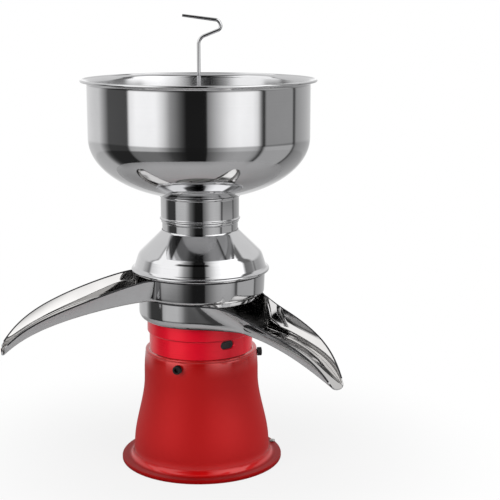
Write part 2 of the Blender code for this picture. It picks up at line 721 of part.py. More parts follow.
seal_high = DRUM_SEAT_Z
seal_low = DRUM_SEAT_Z - SEAL_GROOVE[2] + GAP
seal_inner, seal_outer = SEAL_GROOVE[0] + GAP, SEAL_GROOVE[1] - GAP
turned(
    "drum_seal",
    [(seal_outer, seal_high), (seal_outer, seal_low), (seal_inner, seal_low), (seal_inner, seal_high)],
    rubber,
)

# Disc stack: every cone keeps the drum cover's slope
DRUM_SHOULDER_Z = DRUM_SEAT_Z + 0.017
DRUM_NECK_Z = SKIM_RIM_Z - 0.0133
DRUM_TOP_Z = CREAM_FLOOR_Z - 0.0013
cone_slope = (DRUM_NECK_Z - DRUM_SHOULDER_Z) / (DRUM_RADIUS - DRUM_NECK_RADIUS)
DISC_RADIUS = DRUM_RADIUS - 0.0065
HOLDER_EDGE_Z = DRUM_SEAT_Z + 0.0005
HOLDER_TOP_Z = CREAM_NECK_TOP_Z - 0.006


def cone_height(radius, lift):
    """Height of a cone of the stack at a radius, lifted from the disc holder's own."""
    return HOLDER_EDGE_Z + (DISC_RADIUS - radius) * cone_slope + lift


holder_bore = TUBE_RADIUS + GAP
turned(
    "disc_holder",
    [
        (DISC_TUBE_RADIUS, HOLDER_TOP_Z),
        (DISC_TUBE_RADIUS, cone_height(DISC_TUBE_RADIUS, 0.001)),
        (DISC_RADIUS, cone_height(DISC_RADIUS, 0.001)),
        (DISC_RADIUS, cone_height(DISC_RADIUS, -0.0003)),
        (DISC_TUBE_RADIUS + 0.0025, cone_height(DISC_TUBE_RADIUS + 0.0025, -0.001)),
        (DISC_TUBE_RADIUS, cone_height(DISC_TUBE_RADIUS, -0.006)),
        (DISC_TUBE_RADIUS, DRUM_SEAT_Z + 0.0055),
        (holder_bore + 0.0002, DRUM_SEAT_Z + 0.009),
        (holder_bore + 0.0002, HOLDER_TOP_Z),
    ],
    aluminium,
)
disc_bore = DISC_TUBE_RADIUS + GAP
for number in range(1, DISC_COUNT + 1):
    lift = 0.0004 + DISC_PITCH * number
    edge = DISC_RADIUS - 0.0004 * number
    disc_outline = [
        (disc_bore, cone_height(disc_bore, lift + DISC_THICK)),
        (edge, cone_height(edge, lift + DISC_THICK)),
        (edge, cone_height(edge, lift)),
        (disc_bore, cone_height(disc_bore, lift)),
    ]
    turned(f"separating_disc_{number}", disc_outline, aluminium)
top_lift = 0.0004 + DISC_PITCH * (DISC_COUNT + 1)
NECK_WALL = 0.0012
cream_bore = CREAM_NECK_RADIUS - NECK_WALL
top_disc = turned(
    "top_disc",
    [
        (CREAM_NECK_RADIUS, CREAM_NECK_TOP_Z),
        (CREAM_NECK_RADIUS, cone_height(CREAM_NECK_RADIUS, top_lift + 0.0012)),
        (DISC_RADIUS, cone_height(DISC_RADIUS, top_lift + 0.0012)),
        (DISC_RADIUS, cone_height(DISC_RADIUS, top_lift)),
        (cream_bore, cone_height(cream_bore, top_lift)),
        (cream_bore, CREAM_NECK_TOP_Z - 0.002),
        (TUBE_RADIUS + GAP, CREAM_NECK_TOP_Z - 0.002),
        (TUBE_RADIUS + GAP, CREAM_NECK_TOP_Z),
    ],
    aluminium,
)
cream_outlet = cylinder("cream_outlet", 0.0018, 0.05, None)
aim(cream_outlet, outward(20), (0, 0, CREAM_NECK_TOP_Z - 0.0045))
combine(top_disc, cream_outlet)

# Drum cover: closes the stack, with the skim milk's outlets in its neck
COVER_WALL = 0.0025
cover_bore = SEAL_GROOVE[0] - 0.0002
neck_bore = DRUM_NECK_RADIUS - 0.0018
drum_cover = turned(
    "drum_cover",
    [
        (DRUM_NECK_RADIUS, DRUM_TOP_Z),
        (DRUM_NECK_RADIUS, DRUM_NECK_Z),
        (DRUM_RADIUS, DRUM_SHOULDER_Z),
        (DRUM_RADIUS, DRUM_SEAT_Z + GAP),
        (cover_bore, DRUM_SEAT_Z + GAP),
        (cover_bore, DRUM_SHOULDER_Z - 0.0015),
        (neck_bore, DRUM_NECK_Z - COVER_WALL),
        (neck_bore, DRUM_TOP_Z - 0.002),
        (CREAM_NECK_RADIUS + GAP, DRUM_TOP_Z - 0.002),
        (CREAM_NECK_RADIUS + GAP, DRUM_TOP_Z),
    ],
    aluminium,
)
skim_outlet = cylinder("skim_outlet", 0.0022, 0.06, None)
aim(skim_outlet, outward(110), (0, 0, DRUM_NECK_Z + 0.006))
combine(drum_cover, skim_outlet)
nut_low = CREAM_NECK_TOP_Z + GAP
drum_nut = turned(
    "drum_nut",
    [
        (TUBE_RADIUS + 0.0045, nut_low + 0.0065),
        (TUBE_RADIUS + 0.0060, nut_low + 0.005),
        (TUBE_RADIUS + 0.0060, nut_low),
        (TUBE_RADIUS + GAP, nut_low),
        (TUBE_RADIUS + GAP, nut_low + 0.0065),
    ],
    stainless,
)
for azimuth in (0, 90):
    notch = box(f"nut_notch_{azimuth}", (-0.002, -0.03, nut_low + 0.004), (0.002, 0.03, nut_low + 0.01), None)
    notch.rotation_euler.z = math.radians(azimuth)
    combine(drum_nut, notch)


# Receivers: an annular pan with a sleeve round the drum's neck, and an open spout that droops to its tip
def trough_points(edge_half, floor_half, depth, corner):
    """Round-cornered line across the spout, from one top edge down its leaning wall and up the other."""
    turn = arc((floor_half - corner, corner - depth), (corner, corner), 0, -90, 2)
    return [(edge_half, 0), *turn, *[(-x, z) for x, z in reversed(turn)], (-edge_half, 0)]


def fallen(share, fall):
    """How far an edge or the floor has dropped, a share of the way to the tip."""
    drop, power, curl = fall
    return drop * share**power + curl * share**SPOUT_CURL_POWER


def narrowed(share, widths):
    """Half width a share of the way to the tip."""
    root, tip, power = widths
    return root + (tip - root) * share**power


def spout_sections(radius, top, floor, corner, spout, hollow):
    """Rings across a spout from inside its pan to the tip: its sheet, or the hollow that it holds."""
    length, azimuth, edge_fall, floor_fall, edge_halves, floor_halves = spout
    direction = outward(azimuth)
    across = Vector((-direction.y, direction.x, 0))
    shares = [i / SPOUT_STATIONS for i in range(SPOUT_STATIONS + 1)]
    stations = [(radius - 0.018, 0)] + [(radius + length * share, share) for share in shares]
    if hollow:
        stations.append((radius + length + 0.02, 1))
    rings = []
    for station, share in stations:
        edge_z = top - fallen(share, edge_fall)
        depth = edge_z - floor + fallen(share, floor_fall)
        edge_half = narrowed(share, edge_halves)
        floor_half = narrowed(share, floor_halves)
        bend = min(corner + (SPOUT_CORNER - corner) * share, (depth - SHEET) * 0.8)
        inside = trough_points(edge_half - SHEET, floor_half - SHEET, depth - SHEET, bend)
        if hollow:
            line = [(edge_half - SHEET, 0.03), *inside, (SHEET - edge_half, 0.03)]
        else:
            line = trough_points(edge_half, floor_half, depth, bend + SHEET * 0.8) + inside[::-1]
        rings.append([direction * station + across * x + Vector((0, 0, edge_z + z)) for x, z in line])
    return rings


def receiver(name, radius, rim, floor, corner, sleeve, skirt, spout):
    """Pan, with a skirt that centres it on the piece below, joined to its spout."""
    sleeve_foot, sleeve_head, sleeve_top = sleeve
    skirt_radius, skirt_foot = skirt
    pan_outline = [
        (radius, rim),
        *arc((radius - corner, floor + corner), (corner, corner), 0, -90, 3),
        (skirt_radius, floor),
        (skirt_radius, skirt_foot),
        (skirt_radius - SHEET, skirt_foot),
        (skirt_radius - SHEET, floor),
        (sleeve_foot, floor),
        (sleeve_head, sleeve_top),
        (sleeve_head + SHEET, sleeve_top),
        (sleeve_foot + SHEET, floor + SHEET),
        *arc((radius - corner, floor + corner), (corner - SHEET, corner - SHEET), -90, 0, 3),
        (radius - SHEET, rim),
    ]
    pan = turned(name, pan_outline, stainless, LARGE_STEPS)
    details = (radius, rim - 0.001, floor + 0.0004, corner, spout)
    trough = lofted(f"{name}_spout", spout_sections(*details, False), None)
    pan_void = cylinder(f"{name}_void", radius - SHEET / 2, 0.2, None, LARGE_STEPS)
    pan_void.location.z = floor
    combine(trough, pan_void)
    combine(pan, lofted(f"{name}_mouth", spout_sections(*details, True), None))
    combine(pan, trough, "UNION")
    return pan


SLEEVE_CLEARANCE = 0.0065
sleeve_height = SKIM_FLOOR_Z - DRUM_SHOULDER_Z
skim_sleeve = (
    DRUM_RADIUS - sleeve_height / cone_slope + SLEEVE_CLEARANCE,
    DRUM_NECK_RADIUS + SLEEVE_CLEARANCE,
    DRUM_NECK_Z + 0.001,
)
receiver(
    "skim_receiver",
    SKIM_RADIUS,
    SKIM_RIM_Z,
    SKIM_FLOOR_Z,
    SKIM_CORNER,
    skim_sleeve,
    (HOUSING_BORE - TURNING, SKIM_FLOOR_Z - 0.005),
    (
        SKIM_SPOUT_LENGTH,
        SKIM_SPOUT_AZIMUTH,
        (0.0379, 1.25, 0.0220),
        (0.0350, 2.97, 0),
        (0.0324, 0.0098, 2.47),
        (0.0190, 0.0089, 3.98),
    ),
)
cream_sleeve = (CREAM_NECK_RADIUS + 0.004, CREAM_NECK_RADIUS + 0.004, CREAM_NECK_TOP_Z - 0.007)
receiver(
    "cream_receiver",
    CREAM_RADIUS,
    CREAM_RIM_Z,
    CREAM_FLOOR_Z,
    CREAM_CORNER,
    cream_sleeve,
    (SKIM_RADIUS - SHEET - TURNING, CREAM_FLOOR_Z - 0.004),
    (
        CREAM_SPOUT_LENGTH,
        CREAM_SPOUT_AZIMUTH,
        (0.0470, 1.28, 0.0182),
        (0.0360, 1.79, 0.0126),
        (0.0322, 0.0080, 3.40),
        (0.0290, 0.0078, 2.20),
    ),
)

# Float chamber: a cup under a plain neck, with a nozzle in its floor that feeds the drum
FEED_BORE = NOZZLE_RADIUS - 0.0015
NECK_TOP_Z = COLLAR_FOOT_Z + 0.0213
CUP_FLOOR_Z = COLLAR_FOOT_Z - CUP_DEPTH
NOZZLE_FOOT_Z = TUBE_TOP_Z - 0.005
BEAD_RADIUS = NECK_RADIUS + 0.0011
cup_bore = NECK_RADIUS - SHEET
turned(
    "float_chamber",
    [
        (NECK_RADIUS, NECK_TOP_Z),
        (NECK_RADIUS, COLLAR_FOOT_Z - GAP),
        (BEAD_RADIUS, COLLAR_FOOT_Z - GAP),
        (BEAD_RADIUS, COLLAR_FOOT_Z - 0.003),
        (NECK_RADIUS, COLLAR_FOOT_Z - 0.004),
        (NECK_RADIUS, CUP_FLOOR_Z - SHEET),
        (NOZZLE_RADIUS, CUP_FLOOR_Z - SHEET),
        (NOZZLE_RADIUS, NOZZLE_FOOT_Z),
        (FEED_BORE, NOZZLE_FOOT_Z),
        (FEED_BORE, CUP_FLOOR_Z),
        (cup_bore, CUP_FLOOR_Z),
        (cup_bore, NECK_TOP_Z),
    ],
    stainless,
    LARGE_STEPS,
)

# Chamber cone: a spun skirt on the float chamber's neck that covers the cream receiver with its lip
LIP_RADIUS = CREAM_RADIUS + 0.0047
foot_radius = CREAM_RADIUS + 0.001
foot_z = LIP_Z + 0.0046
knee_radius = foot_radius - 0.0059
knee_z = LIP_Z + 0.0228
cone_bore = NECK_RADIUS + GAP
turned(
    "chamber_cone",
    [
        (cone_bore, CONE_TOP_Z + 0.001),
        (cone_bore + 0.0019, CONE_TOP_Z - 0.001),
        (knee_radius, knee_z),
        (knee_radius + 0.0038, knee_z - 0.0064),
        (foot_radius, foot_z),
        (LIP_RADIUS - 0.001, LIP_Z + 0.0024),
        (LIP_RADIUS, LIP_Z + 0.0014),
        (LIP_RADIUS, LIP_Z),
        (foot_radius - SHEET, LIP_Z),
        (foot_radius - SHEET, foot_z),
        (knee_radius + 0.0026, knee_z - 0.0068),
        (knee_radius - 0.0009, knee_z - 0.0009),
        (cone_bore + 0.0011, CONE_TOP_Z - 0.0020),
        (cone_bore, CONE_TOP_Z - 0.0032),
    ],
    stainless,
    LARGE_STEPS,
)

# Float: a disc on a foot ring, with a pad that closes the bowl's outlet when it rises
PAD_RADIUS = PLUG_RADIUS - 0.001
PAD_HEIGHT = 0.008
FLOAT_RADIUS = NECK_RADIUS - 0.0056
FLOAT_Z = CUP_FLOOR_Z + 0.0035
ring_foot = CUP_FLOOR_Z + GAP
float_top = FLOAT_Z + FLOAT_HEIGHT
turned(
    "float",
    [
        (0, float_top + PAD_HEIGHT),
        (PAD_RADIUS, float_top + PAD_HEIGHT),
        (PAD_RADIUS, float_top + 0.002),
        (FLOAT_RADIUS - 0.004, float_top),
        (FLOAT_RADIUS, float_top - 0.004),
        (FLOAT_RADIUS, FLOAT_Z + 0.004),
        (FLOAT_RADIUS - 0.004, FLOAT_Z),
        (FLOAT_RADIUS - 0.014, FLOAT_Z),
        (FLOAT_RADIUS - 0.014, ring_foot),
        (FLOAT_RADIUS - 0.017, ring_foot),
        (FLOAT_RADIUS - 0.017, FLOAT_Z),
        (0, FLOAT_Z + 0.001),
    ],
    aluminium,
)


# Bowl: straight wall with a beaded rim over a rounded bottom, open at the centre for the outlet seat
def bowl_drop(radius):
    """How far the bowl's outside lies below its straight wall at a radius."""
    share = 1 - (radius / BOWL_RADIUS) ** BOWL_ROUNDNESS
    return BOWL_DEPTH * share ** (1 / BOWL_ROUNDNESS)


BOWL_SPRING_Z = COLLAR_FOOT_Z + COLLAR_HEIGHT + bowl_drop(COLLAR_RADIUS)
BOWL_RIM_Z = BOWL_SPRING_Z + BOWL_WALL_HEIGHT
BOWL_RIM_RADIUS = BOWL_RADIUS + RIM_OVERHANG
SEAT_RADIUS = PLUG_RADIUS + 0.0025
outlet_hole = SEAT_RADIUS + GAP
curve_count = 8
curve_radii = [BOWL_RADIUS * math.cos(math.pi / 2 * i / curve_count) for i in range(1, curve_count)]
curve_radii.append(outlet_hole)
bowl_curve = [(radius, BOWL_SPRING_Z - bowl_drop(radius)) for radius in curve_radii]
inner_share = 1 - SHEET / BOWL_RADIUS
inner_curve = [(radius * inner_share, height + SHEET) for radius, height in bowl_curve[:-1]]
bead = arc((BOWL_RIM_RADIUS, BOWL_RIM_Z), (BOWL_BEAD, BOWL_BEAD), 150, -130, 5)
bowl_outline = [
    *bead,
    (BOWL_RADIUS + 0.0008, BOWL_RIM_Z - 0.0060),
    (BOWL_RADIUS, BOWL_RIM_Z - 0.0100),
    (BOWL_RADIUS, BOWL_SPRING_Z),
    *bowl_curve,
    (outlet_hole, BOWL_SPRING_Z - bowl_drop(outlet_hole) + SHEET),
    *reversed(inner_curve),
    (BOWL_RADIUS - SHEET, BOWL_SPRING_Z),
    (BOWL_RADIUS - SHEET, BOWL_RIM_Z - 0.0080),
    (BOWL_RADIUS + 0.0012, BOWL_RIM_Z - 0.0012),
]
turned("bowl", bowl_outline, stainless, LARGE_STEPS)

# Bowl collar: a ring foot under the bowl that slips over the float chamber's neck
COLLAR_WALL_THICK = 0.0008
COLLAR_FLARE = 0.0012
collar_bore = COLLAR_RADIUS - COLLAR_WALL_THICK
collar_top = COLLAR_FOOT_Z + COLLAR_HEIGHT - SEATING
turned(
    "bowl_collar",
    [
        (COLLAR_RADIUS + COLLAR_FLARE, collar_top),
        (COLLAR_RADIUS + COLLAR_FLARE, collar_top - 0.0012),
        (COLLAR_RADIUS, collar_top - 0.003),
        (COLLAR_RADIUS, COLLAR_FOOT_Z + 0.003),
        (COLLAR_RADIUS + COLLAR_FLARE, COLLAR_FOOT_Z + 0.0012),
        (COLLAR_RADIUS + COLLAR_FLARE, COLLAR_FOOT_Z),
        (collar_bore, COLLAR_FOOT_Z),
        (collar_bore, collar_top),
    ],
    stainless,
    LARGE_STEPS,
)

# Outlet seat: a flanged tube in the bowl's bottom with a window each side for the milk
WINDOW_HALF = 0.0035
flange_radius = SEAT_RADIUS + 0.0045
flange_low = BOWL_SPRING_Z - bowl_drop(flange_radius) + SHEET + GAP
SEAT_TOP_Z = flange_low + 0.0155
SEAT_FOOT_Z = float_top + PAD_HEIGHT + FLOAT_TRAVEL + SEATING
WINDOW_Z = (SEAT_TOP_Z - 0.0115, SEAT_TOP_Z - 0.0035)
plug_bore = PLUG_RADIUS + RUNNING
seat_bore = PLUG_RADIUS - 0.002
seat_step = SEAT_TOP_Z - 0.020
outlet_seat = turned(
    "outlet_seat",
    [
        (SEAT_RADIUS, SEAT_TOP_Z),
        (SEAT_RADIUS, flange_low + 0.002),
        (flange_radius, flange_low + 0.002),
        (flange_radius, flange_low),
        (SEAT_RADIUS, flange_low),
        (SEAT_RADIUS, SEAT_FOOT_Z),
        (seat_bore, SEAT_FOOT_Z),
        (seat_bore, seat_step),
        (plug_bore, seat_step),
        (plug_bore, SEAT_TOP_Z),
    ],
    stainless,
)
seat_window = box("seat_window", (-WINDOW_HALF, -0.03, WINDOW_Z[0]), (WINDOW_HALF, 0.03, WINDOW_Z[1]), None)
combine(outlet_seat, seat_window)

# Valve: a thimble plug whose windows meet the seat's after a quarter turn, on a wire with a hooked handle
SOCKET_TOP_Z = SEAT_TOP_Z + 0.010
plug_top = SEAT_TOP_Z + GAP
valve_plug = turned(
    "valve_plug",
    [
        (WIRE_RADIUS + GAP, SOCKET_TOP_Z),
        (WIRE_RADIUS + 0.003, SOCKET_TOP_Z),
        (WIRE_RADIUS + 0.003, plug_top + 0.0025),
        (PLUG_RADIUS + 0.0015, plug_top + 0.0025),
        (PLUG_RADIUS + 0.0015, plug_top),
        (PLUG_RADIUS, plug_top),
        (PLUG_RADIUS, seat_step + GAP),
        (seat_bore, seat_step + GAP),
        (seat_bore, plug_top - 0.002),
        (0, plug_top - 0.002),
        (0, plug_top + 0.0020),
        (WIRE_RADIUS + GAP, plug_top + 0.0020),
    ],
    stainless,
)
plug_window = box("plug_window", (-0.03, -WINDOW_HALF, WINDOW_Z[0]), (0.03, WINDOW_HALF, WINDOW_Z[1]), None)
combine(valve_plug, plug_window)
wire = bpy.data.curves.new("valve_rod", "CURVE")
wire.dimensions = "3D"
wire.bevel_depth = WIRE_RADIUS
wire.bevel_resolution = 2
wire.use_fill_caps = True
HANDLE_Z = BOWL_RIM_Z + 0.041
handle = [
    (0, plug_top + 0.0023),
    (0, BOWL_RIM_Z - 0.044),
    (0, HANDLE_Z),
    (0.002, HANDLE_Z + 0.0050),
    (0.007, HANDLE_Z + 0.0086),
    (0.019, HANDLE_Z + 0.0130),
    (0.0236, HANDLE_Z + 0.0172),
    (0.0244, HANDLE_Z + 0.0210),
    (0.0220, HANDLE_Z + 0.0243),
    (0.0170, HANDLE_Z + 0.0260),
    (-0.002, HANDLE_Z + 0.0287),
    (-0.018, HANDLE_Z + 0.0305),
]
spline = wire.splines.new("POLY")
spline.points.add(len(handle) - 1)
for point, (x, z) in zip(spline.points, handle):
    point.co = (x, 0, z, 1)
place("valve_rod", wire, stainless)
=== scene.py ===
"""Looks of an electric cream separator: red motor base, spouted receivers, float chamber and milk bowl.

Metres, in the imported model's frame: +Z up on the drum's axis, the front towards -Y.
"""

import math

import bmesh
import bpy
from mathutils import Matrix, Vector


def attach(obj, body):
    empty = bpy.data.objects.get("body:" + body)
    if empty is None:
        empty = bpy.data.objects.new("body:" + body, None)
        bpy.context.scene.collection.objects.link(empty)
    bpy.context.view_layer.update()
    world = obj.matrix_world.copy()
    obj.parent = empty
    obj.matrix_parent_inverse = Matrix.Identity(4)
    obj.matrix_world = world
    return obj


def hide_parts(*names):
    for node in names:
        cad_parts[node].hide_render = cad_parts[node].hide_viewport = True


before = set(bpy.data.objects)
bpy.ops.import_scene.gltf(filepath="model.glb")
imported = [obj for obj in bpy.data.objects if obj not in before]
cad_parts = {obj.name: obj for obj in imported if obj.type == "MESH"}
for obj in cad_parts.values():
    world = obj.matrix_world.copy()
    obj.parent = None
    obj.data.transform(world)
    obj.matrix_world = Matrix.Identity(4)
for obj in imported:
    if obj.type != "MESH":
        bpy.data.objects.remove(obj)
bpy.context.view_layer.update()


# Camera: a long lens a little above the bowl's rim, turned so that the separator stands left of
# the middle, as in the photograph.
PITCH_DOWN, YAW_RIGHT = 11.404, 2.408
lens = bpy.data.cameras.new("studio_camera")
lens.lens = 86.8
lens.sensor_width = 36
camera = bpy.data.objects.new("studio_camera", lens)
camera.location = (0, -1.3673, 0.5247)
camera.rotation_euler = (math.radians(90 - PITCH_DOWN), 0, math.radians(-YAW_RIGHT))
bpy.context.scene.collection.objects.link(camera)
bpy.context.scene.camera = camera


# Base shell: a bell spun from sheet steel that flares to a brim, with a rolled lip at its top.
# It is lacquered satin red over a metal flake, glossier at the foot, under the lip and at the brim. The foot
# and lip bands are also painted lighter, a painted highlight; the flat of the brim is painted darker, a
# painted shade.
# The drum housing drops into the lip.
class Sock:
    """One output of a node. Arithmetic on it adds Math nodes."""

    def __init__(self, output):
        self.output = output

    def node(self, kind, settings, sockets, result=0):
        """A new node in the same tree: its settings first, then the values or links of its sockets."""
        tree = self.output.id_data
        made = tree.nodes.new(kind)
        for name, value in settings.items():
            setattr(made, name, value)
        for name, value in sockets.items():
            if isinstance(value, Sock):
                tree.links.new(value.output, made.inputs[name])
            else:
                made.inputs[name].default_value = value
        return Sock(made.outputs[result])

    def maths(self, operation, first, second):
        """Math node of two values or sockets."""
        return self.node("ShaderNodeMath", {"operation": operation}, {0: first, 1: second})

    def __add__(self, other):
        return self.maths("ADD", self, other)

    def __radd__(self, other):
        return self.maths("ADD", other, self)

    def __sub__(self, other):
        return self.maths("SUBTRACT", self, other)

    def __rsub__(self, other):
        return self.maths("SUBTRACT", other, self)

    def __mul__(self, other):
        return self.maths("MULTIPLY", self, other)

    def __rmul__(self, other):
        return self.maths("MULTIPLY", other, self)

    def __truediv__(self, other):
        return self.maths("DIVIDE", self, other)

    def __pow__(self, other):
        return self.maths("POWER", self, other)

    def part(self, axis):
        """One axis of a vector."""
        return self.node("ShaderNodeSeparateXYZ", {}, {0: self}, axis)

    def rise(self, low, high):
        """0 below low and 1 above high, smooth between."""
        ends = {"Value": self, "From Min": low, "From Max": high}
        return self.node("ShaderNodeMapRange", {"interpolation_type": "SMOOTHSTEP"}, ends)

    def grain(self, size, detail=2.0):
        """Soft noise, 0 to 1, with features of about a size in metres."""
        return self.node("ShaderNodeTexNoise", {}, {"Vector": self, "Scale": 1 / size, "Detail": detail})

    def lines(self, width):
        """Noise along one value only, 0 to 1, as a tool leaves on a turned face."""
        sockets = {"W": self, "Scale": 1 / width, "Detail": 3.0}
        return self.node("ShaderNodeTexNoise", {"noise_dimensions": "1D"}, sockets)

    def tint(self, dark, light):
        """Colour from dark at 0 to light at 1: sockets 6, 7 and output 2 are the Mix node's colours."""
        sockets = {"Factor": self, 6: (*dark, 1), 7: (*light, 1)}
        return self.node("ShaderNodeMix", {"data_type": "RGBA"}, sockets, 2)

    def bump(self, depth, strength=1.0):
        """Normal from a height, 0 to 1, with a depth in metres."""
        return self.node("ShaderNodeBump", {}, {"Height": self, "Distance": depth, "Strength": strength})


def finish(name, **constants):
    """A new material: its shader, set to constants, and the place on the piece as a socket."""
    made = bpy.data.materials.new(name)
    made.use_nodes = True
    shader = made.node_tree.nodes["Principled BSDF"]
    for key, value in constants.items():
        shader.inputs[key.replace("_", " ").title().replace("Ior", "IOR")].default_value = value
    place = Sock(made.node_tree.nodes.new("ShaderNodeTexCoord").outputs["Object"])

    def wire(**sockets):
        """Links sockets to the shader's inputs."""
        for key, value in sockets.items():
            made.node_tree.links.new(value.output, shader.inputs[key.replace("_", " ").title()])

    return made, wire, place


def steps(start, end, count):
    """Evenly spaced values from start to end, a count of steps apart."""
    return [start + (end - start) * i / count for i in range(count + 1)]


def settle(share):
    """Nought to one with a slow start and a slow end."""
    share = min(max(share, 0), 1)
    return share * share * (3 - 2 * share)


def arc(centre, radii, start, end, count):
    """Points on an ellipse's arc, angles in degrees from +radius towards +height."""
    angles = [math.radians(angle) for angle in steps(start, end, count)]
    return [(centre[0] + radii[0] * math.cos(a), centre[1] + radii[1] * math.sin(a)) for a in angles]


SHARP_TURN = 35


def shaped(name, mesh, material, sharp=SHARP_TURN):
    """Object from a bmesh, smooth apart from edges that turn more than an angle in degrees."""
    data = bpy.data.meshes.new(name)
    bmesh.ops.recalc_face_normals(mesh, faces=mesh.faces)
    mesh.to_mesh(data)
    mesh.free()
    data.shade_smooth()
    data.set_sharp_from_angle(angle=math.radians(sharp))
    data.materials.append(material)
    made = bpy.data.objects.new(name, data)
    bpy.context.scene.collection.objects.link(made)
    return made


def spin(mesh, outline, turns):
    """Turns a closed (radius, height) outline about the Z axis into a bmesh."""
    rings = []
    angles = [math.tau * i / turns for i in range(turns)]
    for radius, height in outline:
        if radius < 1e-6:
            rings.append([mesh.verts.new((0, 0, height))] * turns)
            continue
        rings.append([mesh.verts.new((radius * math.sin(a), -radius * math.cos(a), height)) for a in angles])
    for ring, following in zip(rings, rings[1:] + rings[:1]):
        for i in range(turns):
            j = (i + 1) % turns
            corners = list(dict.fromkeys((ring[i], ring[j], following[j], following[i])))
            if len(corners) > 2:
                mesh.faces.new(corners)


def spun(name, outline, material, turns=128):
    """Piece turned about the Z axis."""
    mesh = bmesh.new()
    spin(mesh, outline, turns)
    return shaped(name, mesh, material)


BRIM_RADIUS = 0.0944
BRIM_THICK = 0.0042
BRIM_FILLET = 0.0075
FOOT_RADIUS, FOOT_Z = 0.0795, 0.018
WAIST_RADIUS, WAIST_Z = 0.0666, 0.100
SHELL_TOP = 0.1345
SHELL_WALL = 0.003
LAND_BORE, LAND_FOOT = 0.0604, 0.104
PLATE_BORE, PLATE_SEAT = 0.0863, 0.0033


def bell_radius(height):
    """Outside radius of the bell at a height."""
    return WAIST_RADIUS + (FOOT_RADIUS - WAIST_RADIUS) * settle((WAIST_Z - height) / (WAIST_Z - FOOT_Z))


bell = steps(WAIST_Z, FOOT_Z, 40)
shell_outline = [
    (LAND_BORE, SHELL_TOP - 0.0006),
    (LAND_BORE + 0.0006, SHELL_TOP),
    *arc((0.0634, SHELL_TOP - 0.0016), (0.0016, 0.0016), 90, -30, 9),
    *arc((0.0656, SHELL_TOP - 0.0031), (0.0009, 0.0009), 140, 205, 5),
    (0.0651, SHELL_TOP - 0.0042),
    (0.0653, SHELL_TOP - 0.0060),
    (0.0661, 0.1200),
    (0.0665, 0.1120),
    *[(bell_radius(z), z) for z in bell],
    (0.0798, 0.0150),
    *arc((0.0878, BRIM_THICK + BRIM_FILLET), (BRIM_FILLET, BRIM_FILLET), 180, 270, 12),
    *arc((BRIM_RADIUS - 0.0013, BRIM_THICK - 0.0013), (0.0013, 0.0013), 90, 0, 6),
    *arc((BRIM_RADIUS - 0.0008, 0.0008), (0.0008, 0.0008), 0, -90, 4),
    (PLATE_BORE, 0),
    (PLATE_BORE, PLATE_SEAT),
    (FOOT_RADIUS - SHELL_WALL, PLATE_SEAT),
    *[(bell_radius(z) - SHELL_WALL, z) for z in reversed(bell[::4])],
    (LAND_BORE, LAND_FOOT),
]
red_shell, wire, place = finish("red_shell", metallic=0.45, coat_roughness=0.05, coat_ior=2.0)
flake = place.grain(0.0006, 1.0)
cloud = place.grain(0.05)
height = place.part(2)
# Bands at the foot and just under the lip: glossier, and also painted lighter as a painted highlight.
gloss_and_painted_highlight = height.rise(0.018, 0.009) + height.rise(0.112, 0.1325)
wire(
    base_color=(flake * 0.35 + cloud * 0.3 + gloss_and_painted_highlight * 0.3).tint((0.41, 0.004, 0.004), (0.60, 0.008, 0.009)),
    roughness=0.52 + flake * 0.05 - gloss_and_painted_highlight * 0.30,
    coat_weight=gloss_and_painted_highlight * 0.4,
    normal=flake.bump(0.00002, 0.35),
)
# Brim finish: the flat of the brim is painted dark red, a painted shade for the dark it reflects; the colour
# rises up the fillet (root), where the coat gives a real highlight.
red_brim_painted_shade, wire, place = finish(
    "red_brim_painted_shade", metallic=0.3, specular_ior_level=0.08, coat_roughness=0.03, coat_ior=1.7,
)
flake = place.grain(0.0006, 1.0)
cloud = place.grain(0.05)
root = place.part(2).rise(0.0044, 0.0062)
wire(
    base_color=(flake * 0.15 + cloud * 0.2 + root * 0.65).tint((0.19, 0.001, 0.001), (0.54, 0.003, 0.004)),
    roughness=0.36 + flake * 0.08,
    coat_weight=root * 0.75,
    normal=flake.bump(0.00002, 0.15),
)
shell = spun("base_shell_skin", shell_outline, red_shell, 144)
shell.data.materials.append(red_brim_painted_shade)
for face in shell.data.polygons:
    face.material_index = int(face.center.z < BRIM_THICK + BRIM_FILLET)
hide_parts("base_shell")
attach(shell, "base")
shell.visible_glossy = False


# Drum housing: a turned aluminium cup with a stepped rim, anodised bright red so that the tool's
# fine rings show. Two oblong drain slots with a chamfered edge go through its wall.
HOUSING_RADIUS, HOUSING_BORE, SKIRT_BORE = 0.0601, 0.0578, 0.0573
FLOOR_UNDER, FLOOR_TOP = 0.113, 0.117
BOSS_BORE, BOSS_RADIUS, BOSS_TOP = 0.014, 0.0155, 0.121
RIM_RADIUS = 0.0624
HOUSING_TOP = 0.1703
STEP_Z = 0.1562
SLOT_WIDE, SLOT_HIGH, SLOT_Z = 0.017, 0.0095, 0.1495
SLOT_CUT, SLOT_CHAMFER, CHAMFER_FLARE = 0.006, 0.0012, 0.16


def axis_distance(place):
    """Distance of a place from the drum's axis."""
    return (place.part(0) ** 2 + place.part(1) ** 2) ** 0.5


def outward(azimuth):
    """Level direction at an angle from the front, positive towards +X."""
    angle = math.radians(azimuth)
    return Vector((math.sin(angle), -math.cos(angle), 0))


def loft(mesh, rings):
    """Closed skin through rings of points in the same order."""
    rows = [[mesh.verts.new(point) for point in ring] for ring in rings]
    for row, following in zip(rows, rows[1:]):
        for i in range(len(row)):
            j = (i + 1) % len(row)
            mesh.faces.new((row[i], row[j], following[j], following[i]))
    mesh.faces.new(rows[0][::-1])
    mesh.faces.new(rows[-1])


def applied(piece):
    """Mesh of a piece with its modifiers, which come off it."""
    graph = bpy.context.evaluated_depsgraph_get()
    mesh = bpy.data.meshes.new_from_object(piece.evaluated_get(graph))
    piece.modifiers.clear()
    return mesh


